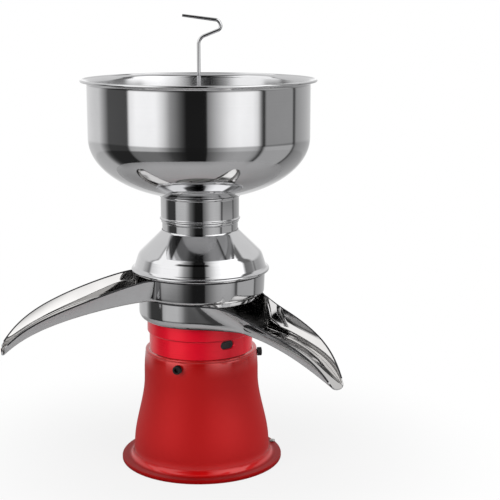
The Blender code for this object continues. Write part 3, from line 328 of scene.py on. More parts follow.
def cut(piece, mesh, operation="DIFFERENCE"):
    """Cuts a closed bmesh out of a piece, or joins it on."""
    tool = shaped("cutter", mesh, piece.data.materials[0])
    step = piece.modifiers.new("cut", "BOOLEAN")
    step.operation = operation
    step.object = tool
    piece.data = applied(piece)
    piece.data.shade_smooth()
    piece.data.set_sharp_from_angle(angle=math.radians(SHARP_TURN))
    bpy.data.objects.remove(tool, do_unlink=True)


wall_rows = steps(0.1535, 0.1400, 10)
housing_outline = [
    *arc((RIM_RADIUS - 0.0007, HOUSING_TOP - 0.0007), (0.0007, 0.0007), 90, 0, 4),
    (RIM_RADIUS, HOUSING_TOP - 0.0012),
    (RIM_RADIUS, STEP_Z + 0.0008),
    *arc((RIM_RADIUS - 0.0005, STEP_Z + 0.0003), (0.0005, 0.0005), 0, -60, 3),
    *arc((HOUSING_RADIUS + 0.0009, STEP_Z - 0.0018), (0.0009, 0.0009), 120, 180, 4),
    *[(HOUSING_RADIUS, z) for z in wall_rows],
    (HOUSING_RADIUS, SHELL_TOP),
    (HOUSING_RADIUS, LAND_FOOT),
    (SKIRT_BORE, LAND_FOOT),
    (SKIRT_BORE, FLOOR_UNDER),
    (BOSS_BORE, FLOOR_UNDER),
    (BOSS_BORE, BOSS_TOP),
    (BOSS_RADIUS, BOSS_TOP),
    (BOSS_RADIUS, FLOOR_TOP),
    (HOUSING_BORE, FLOOR_TOP),
    *[(HOUSING_BORE, z) for z in reversed(wall_rows)],
    (HOUSING_BORE, HOUSING_TOP),
]
red_housing, wire, place = finish("red_housing", metallic=0.4, coat_weight=0.25, coat_roughness=0.06)
rings = (place.part(2) + axis_distance(place) * 0.7).lines(0.00035)
haze = place.grain(0.03)
wire(
    base_color=(rings * 0.5 + haze * 0.5).tint((0.82, 0.002, 0.012), (0.95, 0.004, 0.035)),
    roughness=0.24 + rings * 0.06 + haze * 0.04,
    normal=rings.bump(0.000010, 0.25),
)
housing = spun("drum_housing_cup", housing_outline, red_housing, 180)
slot_end = arc(((SLOT_WIDE - SLOT_HIGH) / 2, 0), (SLOT_HIGH / 2, SLOT_HIGH / 2), -90, 90, 12)
for azimuth in (30, 210):
    facing = outward(azimuth)
    across = Vector((-facing.y, facing.x, 0))
    for flare, reach in ((0, SLOT_CUT), (CHAMFER_FLARE, SLOT_CHAMFER)):
        cutter = bmesh.new()
        sections = []
        for depth in (-reach, reach):
            spread = 1 + flare * (depth + reach) / (2 * reach)
            half = [(x * spread, z * spread) for x, z in slot_end]
            oblong = half + [(-x, -z) for x, z in half]
            middle = facing * (HOUSING_RADIUS + depth - 0.0002) + Vector((0, 0, SLOT_Z))
            sections.append([middle + across * x + Vector((0, 0, z)) for x, z in oblong])
        loft(cutter, sections)
        cut(housing, cutter)
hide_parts("drum_housing")
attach(housing, "base")
housing.visible_glossy = False


# Housing screws: three blackened socket cap screws that hold the housing in the shell's land.
# Each has a fine knurl round its head and a hexagon socket.
CAP_RADIUS, CAP_HIGH = 0.0050, 0.0050
SOCKET_RADIUS, SOCKET_FLOOR, SOCKET_FLAT = 0.0029, 0.0022, 0.00255
KNURLS, KNURL_DEPTH = 60, 0.022
SCREW_SEAT, SCREW_Z = 0.0669, 0.1245
FLAT_CORNER, ARC_STEP, EDGE_HOLD = 3.1, 0.2, 0.0004


def fillet_arc(here, before, after, fillet, count=0):
    """Points of an arc in a corner between two unit directions, and how far along each it reaches."""
    half = before.angle(after) / 2
    reach = fillet / math.tan(half)
    centre = here + (before + after).normalized() * (fillet / math.sin(half))
    start = here + before * reach - centre
    turn = start.angle_signed(here + after * reach - centre)
    count = count or max(3, round(abs(turn) / ARC_STEP))
    return [centre + Matrix.Rotation(-turn * share, 2) @ start for share in steps(0, 1, count)], reach


def rounded(corners):
    """Closed outline through (radius, height, fillet) corners, an arc in each that has a fillet."""
    outline = []
    for i, (radius, height, fillet) in enumerate(corners):
        here = Vector((radius, height))
        before = Vector(corners[i - 1][:2]) - here
        after = Vector(corners[(i + 1) % len(corners)][:2]) - here
        if not fillet or before.angle(after, math.pi) > FLAT_CORNER:
            outline.append((radius, height))
            continue
        back = before.normalized()
        on = after.normalized()
        spots, reach = fillet_arc(here, back, on, fillet)
        spots.insert(0, spots[0] + back * min(EDGE_HOLD, (before.length - reach) * 0.3))
        spots.append(spots[-1] + on * min(EDGE_HOLD, (after.length - reach) * 0.3))
        for spot in spots:
            if not outline or (Vector(outline[-1]) - spot).length > 1e-6:
                outline.append(tuple(spot))
    return outline


def aimed(piece, direction, spot):
    """Moves a mesh from the Z axis so that its Z runs along a direction."""
    turn = direction.to_track_quat("Z", "Y").to_matrix().to_4x4()
    piece.data.transform(Matrix.Translation(spot) @ turn)


black_steel, wire, place = finish("black_steel", metallic=0.75, coat_roughness=0.3)
soot = place.grain(0.0008, 3.0)
wire(
    base_color=soot.tint((0.010, 0.010, 0.011), (0.035, 0.033, 0.033)),
    roughness=0.32 + soot * 0.2,
    normal=soot.bump(0.00003, 0.4),
)
cap_outline = rounded([
    (0, SOCKET_FLOOR, 0),
    (SOCKET_RADIUS, SOCKET_FLOOR, 0),
    (SOCKET_RADIUS, CAP_HIGH, 0.0002),
    (CAP_RADIUS, CAP_HIGH, 0.0007),
    (CAP_RADIUS, 0, 0.0003),
    (0.0022, 0, 0),
    (0.0022, -0.0088, 0.0004),
    (0, -0.0088, 0),
])
for number, azimuth in enumerate((-23, 97, 217), 1):
    mesh = bmesh.new()
    spin(mesh, cap_outline, KNURLS)
    for vertex in mesh.verts:
        flat = vertex.co.xy
        angle = math.atan2(flat.y, flat.x)
        if flat.length > CAP_RADIUS - 0.0003 and 0.0006 < vertex.co.z < CAP_HIGH - 0.0004:
            vertex.co.xy = flat * (1 - KNURL_DEPTH * (round(angle / math.tau * KNURLS) % 2))
        if abs(flat.length - SOCKET_RADIUS) < 0.0003 and vertex.co.z > SOCKET_FLOOR - 0.0002:
            corner = angle % (math.pi / 3) - math.pi / 6
            vertex.co.xy = flat.normalized() * min(flat.length, SOCKET_FLAT / math.cos(corner))
    screw = shaped(f"socket_screw_{number}", mesh, black_steel, 28)
    aimed(screw, outward(azimuth), outward(azimuth) * SCREW_SEAT + Vector((0, 0, SCREW_Z)))
    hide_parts(f"housing_screw_{number}")
    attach(screw, "base")


# Bottom plate: a zinc plated disc with six air holes that closes the bell, and its three sunk
# cross-head screws. Seen only from below.
PLATE_RADIUS, PLATE_TOP, PLATE_FOOT = 0.0860, 0.003, 0.0001
AIR_RING, PLATE_SCREW_RING = 0.055, 0.0790
CROSS_LONG, CROSS_WIDE, CROSS_CUT = 0.0036, 0.0007, 0.0018


def block(centre, size, turn=0):
    """Bmesh box about a centre, turned about the Z axis by an angle in degrees."""
    mesh = bmesh.new()
    place = Matrix.Rotation(math.radians(turn), 4, "Z") @ Matrix.Translation(centre)
    bmesh.ops.create_cube(mesh, size=1, matrix=place @ Matrix.Diagonal((*size, 1)))
    return mesh


zinc_steel, wire, place = finish("zinc_steel", metallic=1.0)
spangle = place.node("ShaderNodeTexVoronoi", {}, {"Vector": place, "Scale": 220.0}, 1)
bloom = place.grain(0.012, 4.0)
grey = spangle.node("ShaderNodeRGBToBW", {}, {0: spangle})
wire(
    base_color=(grey * 0.4 + bloom * 0.6).tint((0.42, 0.42, 0.40), (0.66, 0.66, 0.63)),
    roughness=0.30 + bloom * 0.22,
    normal=bloom.bump(0.00004, 0.3),
)
plate_outline = rounded([
    (0, PLATE_TOP, 0),
    (PLATE_RADIUS, PLATE_TOP, 0.0004),
    (PLATE_RADIUS, PLATE_FOOT, 0.0006),
    (0, PLATE_FOOT, 0),
])
plate = spun("bottom_plate_disc", plate_outline, zinc_steel, 128)
for number in range(6):
    cutter = bmesh.new()
    bmesh.ops.create_cone(cutter, cap_ends=True, segments=32, radius1=0.0058, radius2=0.0050, depth=0.008)
    bmesh.ops.translate(cutter, verts=cutter.verts, vec=outward(60 * number + 30) * AIR_RING)
    cut(plate, cutter)
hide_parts("bottom_plate")
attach(plate, "base")
sunk_outline = rounded([
    (0, 0.0060, 0),
    (0.0014, 0.0060, 0.0003),
    (0.0014, 0.0014, 0),
    (0.0031, 0.0014, 0.0002),
    (0.0031, 0.0002, 0.0004),
    (0, 0.0002, 0),
])
for number, azimuth in enumerate((60, 180, 300), 1):
    screw = spun(f"plate_screw_{number}", sunk_outline, zinc_steel, 32)
    for long, wide in ((CROSS_LONG, CROSS_WIDE), (CROSS_WIDE, CROSS_LONG)):
        cut(screw, block((0, 0, 0), (long, wide, CROSS_CUT)))
    aimed(screw, Vector((0, 0, 1)), outward(azimuth) * PLATE_SCREW_RING)
    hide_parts(f"bottom_screw_{number}")
    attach(screw, "base")


# Earth screw: a small slotted pan head that goes down into the flat of the brim, at the right.
# Turned steel, bright zinc plated.
EARTH_TOP = 0.0068
EARTH_AZIMUTH, EARTH_RING = 109, 0.0910
earth_outline = rounded([
    (0, EARTH_TOP, 0),
    (0.0012, EARTH_TOP, 0.004),
    (0.0030, 0.0061, 0.0009),
    (0.0030, 0.0045, 0.0002),
    (0.0014, 0.0045, 0),
    (0.0014, 0.0018, 0),
    (0, 0.0018, 0),
])
earth = spun("earth_screw_head", earth_outline, zinc_steel, 40)
cut(earth, block((0, 0, EARTH_TOP), (0.008, 0.0008, 0.0018)))
aimed(earth, Vector((0, 0, 1)), outward(EARTH_AZIMUTH) * EARTH_RING)
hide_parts("earth_screw")
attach(earth, "base")


# Power switch: a moulded black rocker switch that snaps into the shell's back. The bezel is a
# frame with soft corners, and the rocker has two dished halves.
SWITCH_Z = 0.091
BEZEL_BACK, BEZEL_FACE = 0.06874, 0.07094
KEY_HALF, KEY_HALF_HIGH, KEY_BACK = 0.0045, 0.0068, -0.004
KEY_CREST, KEY_DISH, KEY_TILT, KEY_SINK = 0.0040, 0.0009, -7, 0.0025


def softened(mesh, width, segments=4):
    """Rounds every edge of a bmesh."""
    bmesh.ops.bevel(mesh, geom=mesh.edges[:], offset=width, segments=segments, profile=0.5, affect="EDGES")


black_plastic, wire, place = finish("black_plastic")
mould = place.grain(0.0005, 2.0)
worn = place.grain(0.02, 3.0)
wire(
    base_color=worn.tint((0.016, 0.016, 0.018), (0.040, 0.040, 0.043)),
    roughness=0.38 + mould * 0.10 + worn * 0.08,
    normal=mould.bump(0.00003, 0.5),
)
bezel_block = block((0, (BEZEL_FACE + BEZEL_BACK) / 2, SWITCH_Z), (0.015, BEZEL_FACE - BEZEL_BACK, 0.021))
softened(bezel_block, 0.0009)
bezel = shaped("switch_bezel", bezel_block, black_plastic)
core = block((0, 0.0620, SWITCH_Z), (0.0126, 0.0140, 0.0186))
softened(core, 0.0005, 2)
cut(bezel, core, "UNION")
window = block((0, BEZEL_FACE - 0.002, SWITCH_Z), (0.0098, 0.014, 0.0165))
softened(window, 0.0006, 3)
cut(bezel, window)
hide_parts("switch_body")
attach(bezel, "base")
mesh = bmesh.new()
rows = []
for z in steps(-KEY_HALF_HIGH, KEY_HALF_HIGH, 24):
    dish = KEY_CREST - KEY_DISH * math.sin(math.pi * abs(z) / KEY_HALF_HIGH)
    corners = ((-KEY_HALF, KEY_BACK), (KEY_HALF, KEY_BACK), (KEY_HALF, dish), (-KEY_HALF, dish))
    rows.append([(x, y, z) for x, y in corners])
loft(mesh, rows)
rocker = shaped("switch_rocker_key", mesh, black_plastic, 40)
tipped = Matrix.Rotation(math.radians(KEY_TILT), 4, "X")
rocker.data.transform(Matrix.Translation((0, BEZEL_FACE - KEY_SINK, SWITCH_Z)) @ tipped)
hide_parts("switch_rocker")
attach(rocker, "switch_rocker")


# Cord gland: a moulded rubber sleeve pushed through the bell's back, below the switch, and held there by
# its domed flange.
GLAND_Z = 0.026
GLAND_FLANGE = 0.0078
rubber, wire, place = finish("rubber")
dust = place.grain(0.004, 4.0)
skin = place.grain(0.0004, 1.0)
wire(
    base_color=dust.tint((0.014, 0.014, 0.014), (0.036, 0.035, 0.034)),
    roughness=0.62 + dust * 0.2,
    normal=skin.bump(0.00004, 0.5),
)
gland_outline = rounded([
    (0.0035, 0.0035, 0.0006),
    (0.0066, 0.0035, 0.0011),
    (GLAND_FLANGE, 0.0020, 0.0008),
    (GLAND_FLANGE, 0, 0.0002),
    (0.0056, 0, 0),
    (0.0056, -0.0125, 0.0004),
    (0.0035, -0.0125, 0.0004),
])
gland = spun("cord_gland_sleeve", gland_outline, rubber, 48)
aimed(gland, Vector((0, 1, 0)), Vector((0, bell_radius(GLAND_Z - GLAND_FLANGE) + 0.0003, GLAND_Z)))
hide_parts("cord_gland")
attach(gland, "base")


# Motor: inside the bell, hung under the housing's floor. Cast brackets, steel laminations, enamelled
# windings, bearings, brushes and rubber mounts keep the CAD's own shapes.
def dressed(names, material):
    """Gives CAD pieces a finish."""
    for name in names:
        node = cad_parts[name]
        node.data.materials.clear()
        node.data.materials.append(material)


aluminium, wire, place = finish("aluminium", metallic=1.0)
tooling = (axis_distance(place) + place.part(2) * 0.6).lines(0.0005)
dull = place.grain(0.015, 3.0)
wire(
    base_color=(tooling * 0.4 + dull * 0.6).tint((0.50, 0.51, 0.52), (0.68, 0.69, 0.70)),
    roughness=0.46 + tooling * 0.12 + dull * 0.08,
    normal=tooling.bump(0.00002, 0.5),
)
bare_steel, wire, place = finish("bare_steel", metallic=1.0)
sheets = place.part(2).lines(0.0006)
stain = place.grain(0.01, 3.0)
wire(
    base_color=(sheets * 0.6 + stain * 0.4).tint((0.30, 0.30, 0.30), (0.56, 0.56, 0.55)),
    roughness=0.28 + sheets * 0.16,
    normal=sheets.bump(0.00005, 0.5),
)
copper, wire, place = finish("copper", metallic=0.9, coat_weight=0.4, coat_roughness=0.2)
turns = (place.part(1) + place.part(2)).lines(0.0008)
wire(
    base_color=turns.tint((0.30, 0.09, 0.025), (0.60, 0.24, 0.08)),
    roughness=0.30 + turns * 0.18,
    normal=turns.bump(0.0002, 0.6),
)
dressed(["upper_bracket", "lower_bracket"], aluminium)
dressed(["stator_core", "upper_bearing", "lower_bearing", "motor_shaft", "armature_core"], bare_steel)
dressed(["field_coil_left", "field_coil_right", "commutator"], copper)
dressed(["brush_front", "brush_back", "brush_holder_front", "brush_holder_back"], black_plastic)
dressed(["cooling_fan"], black_plastic)
dressed([f"motor_mount_{number}" for number in (1, 2, 3)], rubber)
dressed([f"motor_screw_{number}" for number in (1, 2, 3)], zinc_steel)


# Drum: turned aluminium bowl that spins on the shaft's nose, with a cover over its stack of cones and a
# notched steel nut that clamps them. Base and cover are painted near black, a painted shade for the dark
# inside the housing. Cover, top cone and nut show when the float chamber is lifted.
dressed(["disc_holder"] + [f"separating_disc_{number}" for number in range(1, 8)], aluminium)
# Near-black base colour: painted shade for the drum lying in the housing's shadow, not the metal's own
# colour.
drum_painted_dark, wire, place = finish("drum_painted_shade", metallic=0.4)
turned = (axis_distance(place) + place.part(2) * 0.6).lines(0.0005)
worn = place.grain(0.015, 3.0)
wire(
    base_color=(turned * 0.4 + worn * 0.6).tint((0.030, 0.030, 0.032), (0.070, 0.070, 0.072)),
    roughness=0.42 + turned * 0.12 + worn * 0.08,
)
dressed(["drum_base"], drum_painted_dark)
dressed(["drum_seal"], rubber)
cover = spun("drum_cover_cone", rounded([
    (0.0240, 0.1993, 0.0005),
    (0.0240, 0.1868, 0.003),
    (0.0525, 0.1500, 0.003),
    (0.0525, 0.1333, 0.0005),
    (0.0490, 0.1333, 0),
    (0.0490, 0.1485, 0.001),
    (0.0222, 0.1843, 0),
    (0.0222, 0.1973, 0),
    (0.0183, 0.1973, 0),
    (0.0183, 0.1993, 0.0003),
]), drum_painted_dark, 96)
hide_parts("drum_cover")
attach(cover, "rotor")
dressed(["top_disc"], aluminium)
stainless, wire, place = finish("stainless", metallic=1.0)
buff = place.grain(0.02, 3.0)
swirl = (axis_distance(place) + place.part(2)).lines(0.0012)
wire(
    base_color=(buff * 0.6 + swirl * 0.4).tint((0.66, 0.66, 0.67), (0.76, 0.76, 0.77)),
    roughness=0.035 + buff * 0.03 + swirl * 0.02,
    normal=swirl.bump(0.000004, 0.3),
)
nut = spun("drum_nut_ring", rounded([
    (0.0103, 0.2247, 0.0003),
    (0.0145, 0.2247, 0.0012),
    (0.0160, 0.2230, 0.0008),
    (0.0160, 0.2183, 0.0003),
    (0.0103, 0.2183, 0),
]), stainless, 72)
for azimuth in (0, 90):
    cut(nut, block((0, 0, 0.2252), (0.004, 0.06, 0.006), azimuth))
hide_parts("drum_nut")
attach(nut, "rotor")


# Receivers: two pans of stainless sheet, each with a sleeve round the drum's neck and an open spout
# pressed out of its wall. Mirror polished, a little duller where the inside is left as drawn. The top
# edge is rolled to a bead that runs to the tip, painted near black as a painted dark reflection line.
SHEET = 0.0012
SPOUT_BEND = 0.0018
EDGE_BEAD, BEAD_SINK, BEAD_STOP = 0.0009, 0.7, 0.985
EDGE_DROP, FLOOR_LIFT = 0.001, 0.0004
CORNER_PULL, FOOT_BLEND, BEND_SHARE = 0.7, 0.6, 0.8
TIP_TURN, TIP_END = 16, 80
DOME_REACH, DOME_SIZE = 0.9, 0.44
WELD = 0.00001
PAN_STEPS, ROOT_STEPS, SPOUT_STEPS, LANES = 112, 18, 48, 24
WALL_ROWS, BEND_ROWS, FLOOR_ROWS, SLEEVE_ROWS = 10, 8, 5, 6
pan_inside, wire, place = finish("pan_inside")
buff = place.grain(0.02, 3.0)
drawn = axis_distance(place).rise(0.096, 0.072)
wire(
    base_color=buff.tint((0.62, 0.61, 0.60), (0.74, 0.73, 0.72)),
    metallic=1 - drawn * 0.10,
    roughness=0.035 + buff * 0.03 + drawn * 0.08,
    normal=buff.bump(0.00001, 0.2),
)
# The rolled bead along the pans' top edges is painted near black, a painted dark reflection line, not the
# steel's colour.
edge_bead_painted_dark, wire, place = finish("edge_bead_painted_dark", metallic=1.0)
dull = place.grain(0.004, 3.0)
wire(
    base_color=dull.tint((0.045, 0.045, 0.047), (0.085, 0.085, 0.09)),
    roughness=0.26 + dull * 0.10,
    normal=dull.bump(0.00002, 0.3),
)


def hoop(centre, side, over, radius, count):
    """Points round a circle that lies along two directions."""
    angles = [math.tau * k / count for k in range(count)]
    return [centre + (side * math.cos(a) + over * math.sin(a)) * radius for a in angles]


def tube(mesh, path, radius, sides=10):
    """Round rod along a path of points, with domed ends."""
    rings = []
    last = len(path) - 1
    for i, point in enumerate(path):
        ahead = (path[min(i + 1, last)] - path[max(i - 1, 0)]).normalized()
        side = ahead.cross(Vector((0, 0, 1))).normalized()
        over = side.cross(ahead)
        dome = ahead * (DOME_REACH * radius)
        if i == 0:
            rings.append(hoop(point - dome, side, over, radius * DOME_SIZE, sides))
        rings.append(hoop(point, side, over, radius, sides))
        if i == last:
            rings.append(hoop(point + dome, side, over, radius * DOME_SIZE, sides))
    loft(mesh, rings)


def skinned(mesh, rows):
    """Open skin through rows of points."""
    made = [[mesh.verts.new(point) for point in row] for row in rows]
    for row, following in zip(made, made[1:]):
        for i in range(len(row) - 1):
            mesh.faces.new((row[i], row[i + 1], following[i + 1], following[i]))


def fallen(share, drop, power, curl):
    """How far a spout's edge or floor has dropped, a share of the way to the tip."""
    return drop * max(share, 0) ** power + curl * max(share, 0) ** 7


def narrowed(share, root, tip, power):
    """Half width of a spout a share of the way to the tip."""
    return root + (tip - root) * min(max(share, 0), 1) ** power


def spout_edge(radius, length, halves, join, blend):
    """Plan of one spout wall as (along, across): off the pan round an easy corner, then out to the tip."""
    root = Vector((radius * math.cos(join), radius * math.sin(join)))
    meet = Vector((radius + blend, narrowed(blend / length, *halves)))
    slope = (narrowed((blend + 0.001) / length, *halves) - meet.y) / 0.001
    off = Vector((math.sin(join), -math.cos(join)))
    run = (root.y - meet.y - slope * (root.x - meet.x)) / (slope * off.x - off.y)
    first = root + off * run * CORNER_PULL
    second = meet.lerp(root + off * run, CORNER_PULL)
    points = []
    for t in steps(0, 1, ROOT_STEPS)[:-1]:
        pull = first * (3 * t * (1 - t) ** 2) + second * (3 * t * t * (1 - t))
        points.append(root * (1 - t) ** 3 + pull + meet * t**3)
    for along in steps(blend, length, SPOUT_STEPS):
        points.append(Vector((radius + along, narrowed(along / length, *halves))))
    return points


def inward(edge, i):
    """Direction into the trough, square to a spout wall's plan."""
    ahead = edge[min(i + 1, len(edge) - 1)] - edge[max(min(i, len(edge) - 1) - 1, 0)]
    return Vector((ahead.y, -ahead.x)).normalized()


def wall_down(top, foot, bend, draft):
    """(inset, height) down a wall from its top edge and round its foot."""
    line = [(0, height) for height in steps(top, foot + bend, WALL_ROWS)[:-1]]
    line += [(bend - x, foot + bend + z) for x, z in arc((0, 0), (bend, bend), 0, -90, BEND_ROWS)]
    return [(inset + draft * (top - height), height) for inset, height in line]


def thickened(name, mesh, radius):
    """Bmesh of an open skin given the sheet's thickness inwards, with the inside's finish there."""
    bmesh.ops.remove_doubles(mesh, verts=mesh.verts, dist=WELD)
    pan = shaped(name, mesh, stainless, 60)
    # The pan's floor tells which way the skin faces.
    floor = min(pan.data.polygons, key=lambda face: face.center.z - (face.center.xy.length < radius))
    if floor.normal.z > 0:
        pan.data.flip_normals()
    pan.data.materials.append(pan_inside)
    thick = pan.modifiers.new("sheet", "SOLIDIFY")
    thick.thickness = SHEET
    thick.offset = -1
    thick.material_offset = 1
    sheet = bmesh.new()
    sheet.from_mesh(applied(pan))
    bpy.data.objects.remove(pan, do_unlink=True)
    return sheet


def receiver(
    name, radius, rim, floor, corner, draft, sleeve, skirt,
    length, azimuth, edge_fall, floor_fall, edge_halves, floor_halves, flare_power, tongue, join, blend,
):
    """Pan and spout as one sheet, with the rolled edge and the skirt that centres it below."""
    join = math.radians(join)
    facing = outward(azimuth)
    across = Vector((-facing.y, facing.x, 0))

    def spot(flat, height):
        """Point from its plan, (along, across) the spout, and its height."""
        return facing * flat.x + across * flat.y + Vector((0, 0, height))

    def ray(angle):
        """Level direction at an angle from the spout, as a plan."""
        return Vector((math.cos(angle), math.sin(angle)))

    sleeve_foot, sleeve_head, sleeve_top = sleeve
    sleeve_radii = steps(sleeve_foot, sleeve_head, SLEEVE_ROWS)
    sleeve_line = list(zip(sleeve_radii, steps(floor, sleeve_top, SLEEVE_ROWS)))[1:]
    profile = wall_down(rim, floor, corner, draft)
    foot_inset = profile[-1][0]
    section = [(radius - inset, height) for inset, height in profile]
    section += [(r, floor) for r in steps(radius - foot_inset, sleeve_foot, FLOOR_ROWS)[1:]]
    section += sleeve_line
    pan_angles = steps(join, math.tau - join, PAN_STEPS)
    mesh = bmesh.new()
    skinned(mesh, [[spot(ray(angle) * r, z) for r, z in section] for angle in pan_angles])

    edge = spout_edge(radius, length, edge_halves, join, blend)
    foot = spout_edge(radius, length, floor_halves, join, blend * FOOT_BLEND)
    stations = [(upper, lower, 1) for upper, lower in zip(edge, foot)]
    for degrees in range(TIP_TURN, TIP_END + 1, TIP_TURN):
        past = tongue * math.sin(math.radians(degrees))
        shrink = math.cos(math.radians(degrees))
        upper, lower = (Vector((p.x + past, p.y * shrink)) for p in (edge[-1], foot[-1]))
        stations.append((upper, lower, shrink))
    rows = []
    bead_path = []
    for i, (upper, lower, shrink) in enumerate(stations):
        ease = settle(i / ROOT_STEPS)
        share = (upper.x - radius) / length
        edge_z = rim - EDGE_DROP * ease - fallen(share, *edge_fall)
        floor_z = floor + FLOOR_LIFT * ease - fallen(share, *floor_fall)
        depth = (edge_z - floor_z) * shrink
        bend = min(corner + (SPOUT_BEND - corner) * ease, depth * BEND_SHARE)
        wall = []
        for inset, height in wall_down(floor_z + depth, floor_z, bend, draft):
            flare = 1 - max((height - floor_z) / depth, 0) ** flare_power
            wall.append((upper.lerp(lower, flare) + inward(foot, i) * inset * shrink, height))
        low = wall[-1][0]
        row = wall + [(Vector((low.x, low.y * side)), floor_z) for side in steps(1, -1, LANES)[1:-1]]
        row += [(Vector((p.x, -p.y)), z) for p, z in reversed(wall)]
        rows.append([spot(p, z) for p, z in row])
        if share < BEAD_STOP:
            middle = upper + inward(edge, i) * (SHEET * 0.5)
            bead_path.append((middle, edge_z + EDGE_BEAD * (ease - BEAD_SINK)))
    skinned(mesh, rows)

    chord = edge[0] - ray(join) * foot_inset
    rows = []
    for side in steps(1, -1, LANES):
        outer = Vector((chord.x, chord.y * side))
        inner = ray(join * side)
        row = [(outer.lerp(inner * sleeve_foot, share), floor) for share in steps(0, 1, FLOOR_ROWS)]
        row += [(inner * r, z) for r, z in sleeve_line]
        rows.append([spot(p, z) for p, z in row])
    skinned(mesh, rows)
    mesh = thickened(name, mesh, radius)

    rim_path = [spot(p, z) for p, z in reversed(bead_path)]
    for angle in pan_angles[1:-1]:
        rim_path.append(spot(ray(angle) * (radius - SHEET * 0.5), rim - EDGE_BEAD * BEAD_SINK))
    rim_path += [spot(Vector((p.x, -p.y)), z) for p, z in bead_path]
    polished = len(mesh.faces)
    tube(mesh, rim_path, EDGE_BEAD)
    mesh.faces.ensure_lookup_table()
    # The bead's faces take the painted dark finish.
    for face in mesh.faces[polished:]:
        face.material_index = 2
    skirt_radius, skirt_foot = skirt
    spin(mesh, rounded([
        (skirt_radius, floor + SHEET * 0.5, 0),
        (skirt_radius, skirt_foot, 0.0004),
        (skirt_radius - SHEET, skirt_foot, 0.0004),
        (skirt_radius - SHEET, floor + SHEET * 0.5, 0),
    ]), 96)
    made = shaped(name, mesh, stainless, 50)
    made.data.materials.append(pan_inside)
    made.data.materials.append(edge_bead_painted_dark)
    return made


skim = receiver(
    "skim_pan", radius=0.0715, rim=0.2001, floor=0.1708, corner=0.009, draft=0,
    sleeve=(0.0429, 0.0305, 0.1878), skirt=(0.0572, 0.1658), length=0.1463, azimuth=40.3,
    edge_fall=(0.0379, 1.25, 0.0220), floor_fall=(0.0350, 2.97, 0), edge_halves=(0.0324, 0.0098, 2.47),
    floor_halves=(0.0190, 0.0089, 3.98), flare_power=2.4, tongue=0.004, join=51, blend=0.040,
)
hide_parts("skim_receiver")
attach(skim, "skim_receiver")
cream = receiver(
    "cream_pan", radius=0.0749, rim=0.2258, floor=0.2006, corner=0.003, draft=0.045,
    sleeve=(0.0220, 0.0220, 0.2110), skirt=(0.0697, 0.1966), length=0.1574, azimuth=-69,
    edge_fall=(0.0470, 1.28, 0.0182), floor_fall=(0.0360, 1.79, 0.0126), edge_halves=(0.0322, 0.0080, 3.4),
    floor_halves=(0.0290, 0.0078, 2.2), flare_power=1.7, tongue=0.002, join=27, blend=0.010,
)
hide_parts("cream_receiver")
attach(cream, "cream_receiver")


# Float chamber: a deep cup with a nozzle in its floor, drawn from sheet, and a spun cone soldered round
# its neck that covers the cream receiver. Both are mirror polished.
NECK_RADIUS = 0.0436
COLLAR_FOOT = 0.2868
CUP_FLOOR = 0.2518
LIP_Z = 0.2263
cup = spun("float_cup", rounded([
    (NECK_RADIUS, 0.3081, 0.0005),
    (NECK_RADIUS, COLLAR_FOOT - 0.0003, 0.0001),
    (NECK_RADIUS + 0.0011, COLLAR_FOOT - 0.0004, 0.0009),
    (NECK_RADIUS + 0.0011, COLLAR_FOOT - 0.0030, 0.0009),
    (NECK_RADIUS, COLLAR_FOOT - 0.0040, 0.0006),
    (NECK_RADIUS, CUP_FLOOR - SHEET, 0.003),
    (0.0045, CUP_FLOOR - SHEET, 0.001),
    (0.0045, 0.2211, 0.0004),
    (0.0030, 0.2211, 0.0004),
    (0.0030, CUP_FLOOR, 0.0004),
    (NECK_RADIUS - SHEET, CUP_FLOOR, 0.002),
    (NECK_RADIUS - SHEET, 0.3081, 0.0005),
]), stainless, 128)
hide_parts("float_chamber")
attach(cup, "float_chamber")
cone = spun("chamber_cone_skirt", rounded([
    (NECK_RADIUS + 0.0003, 0.2756, 0.0001),
    (NECK_RADIUS + 0.0008, 0.2736, 0.004),
    (0.0709, 0.2478, 0.013),
    (0.0754, 0.2332, 0.004),
    (0.0768, 0.2308, 0.0018),
    (0.0796, 0.2303, 0.0013),
    (0.0796, LIP_Z + 0.0006, 0.0013),
    (0.0747, LIP_Z + 0.0006, 0.0004),
    (0.0747, 0.2315, 0.003),
    (0.0692, 0.2478, 0.0146),
    (NECK_RADIUS + 0.0014, 0.2706, 0.002),
    (NECK_RADIUS + 0.0003, 0.2696, 0),
]), stainless, 128)
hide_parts("chamber_cone")
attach(cone, "float_chamber")


# Float: a hollow disc spun from aluminium, on a foot ring, with a pad on top that closes the bowl's outlet.
# It lies loose in the float chamber.
FLOAT_Z = 0.2553
disc = spun("float_disc", rounded([
    (0, FLOAT_Z + 0.0240, 0),
    (0.0070, FLOAT_Z + 0.0240, 0.0012),
    (0.0070, FLOAT_Z + 0.0180, 0.001),
    (0.0340, FLOAT_Z + 0.0160, 0.003),
    (0.0380, FLOAT_Z + 0.0120, 0.003),
    (0.0380, FLOAT_Z + 0.0040, 0.003),
    (0.0340, FLOAT_Z, 0.003),
    (0.0240, FLOAT_Z, 0.0004),
    (0.0240, CUP_FLOOR + 0.0003, 0.0006),
    (0.0210, CUP_FLOOR + 0.0003, 0.0006),
    (0.0210, FLOAT_Z, 0.0004),
    (0, FLOAT_Z + 0.0010, 0),
]), aluminium, 96)
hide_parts("float")
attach(disc, "float")


# Milk bowl: drawn from stainless sheet, with a straight wall, a rounded bottom and a rim rolled outwards
# over a wire. Mirror polished outside, buffed inside.
BOWL_RADIUS = 0.126
BOWL_SPRING = 0.3820
BOWL_DEPTH = 0.0712
BOWL_ROUNDNESS = 2.06
BOWL_RIM = 0.4440
BOWL_OUTLET = 0.0108
BOWL_STEPS = 72
RIM_BEAD = 0.0016
SATIN_LEAN = 0.12


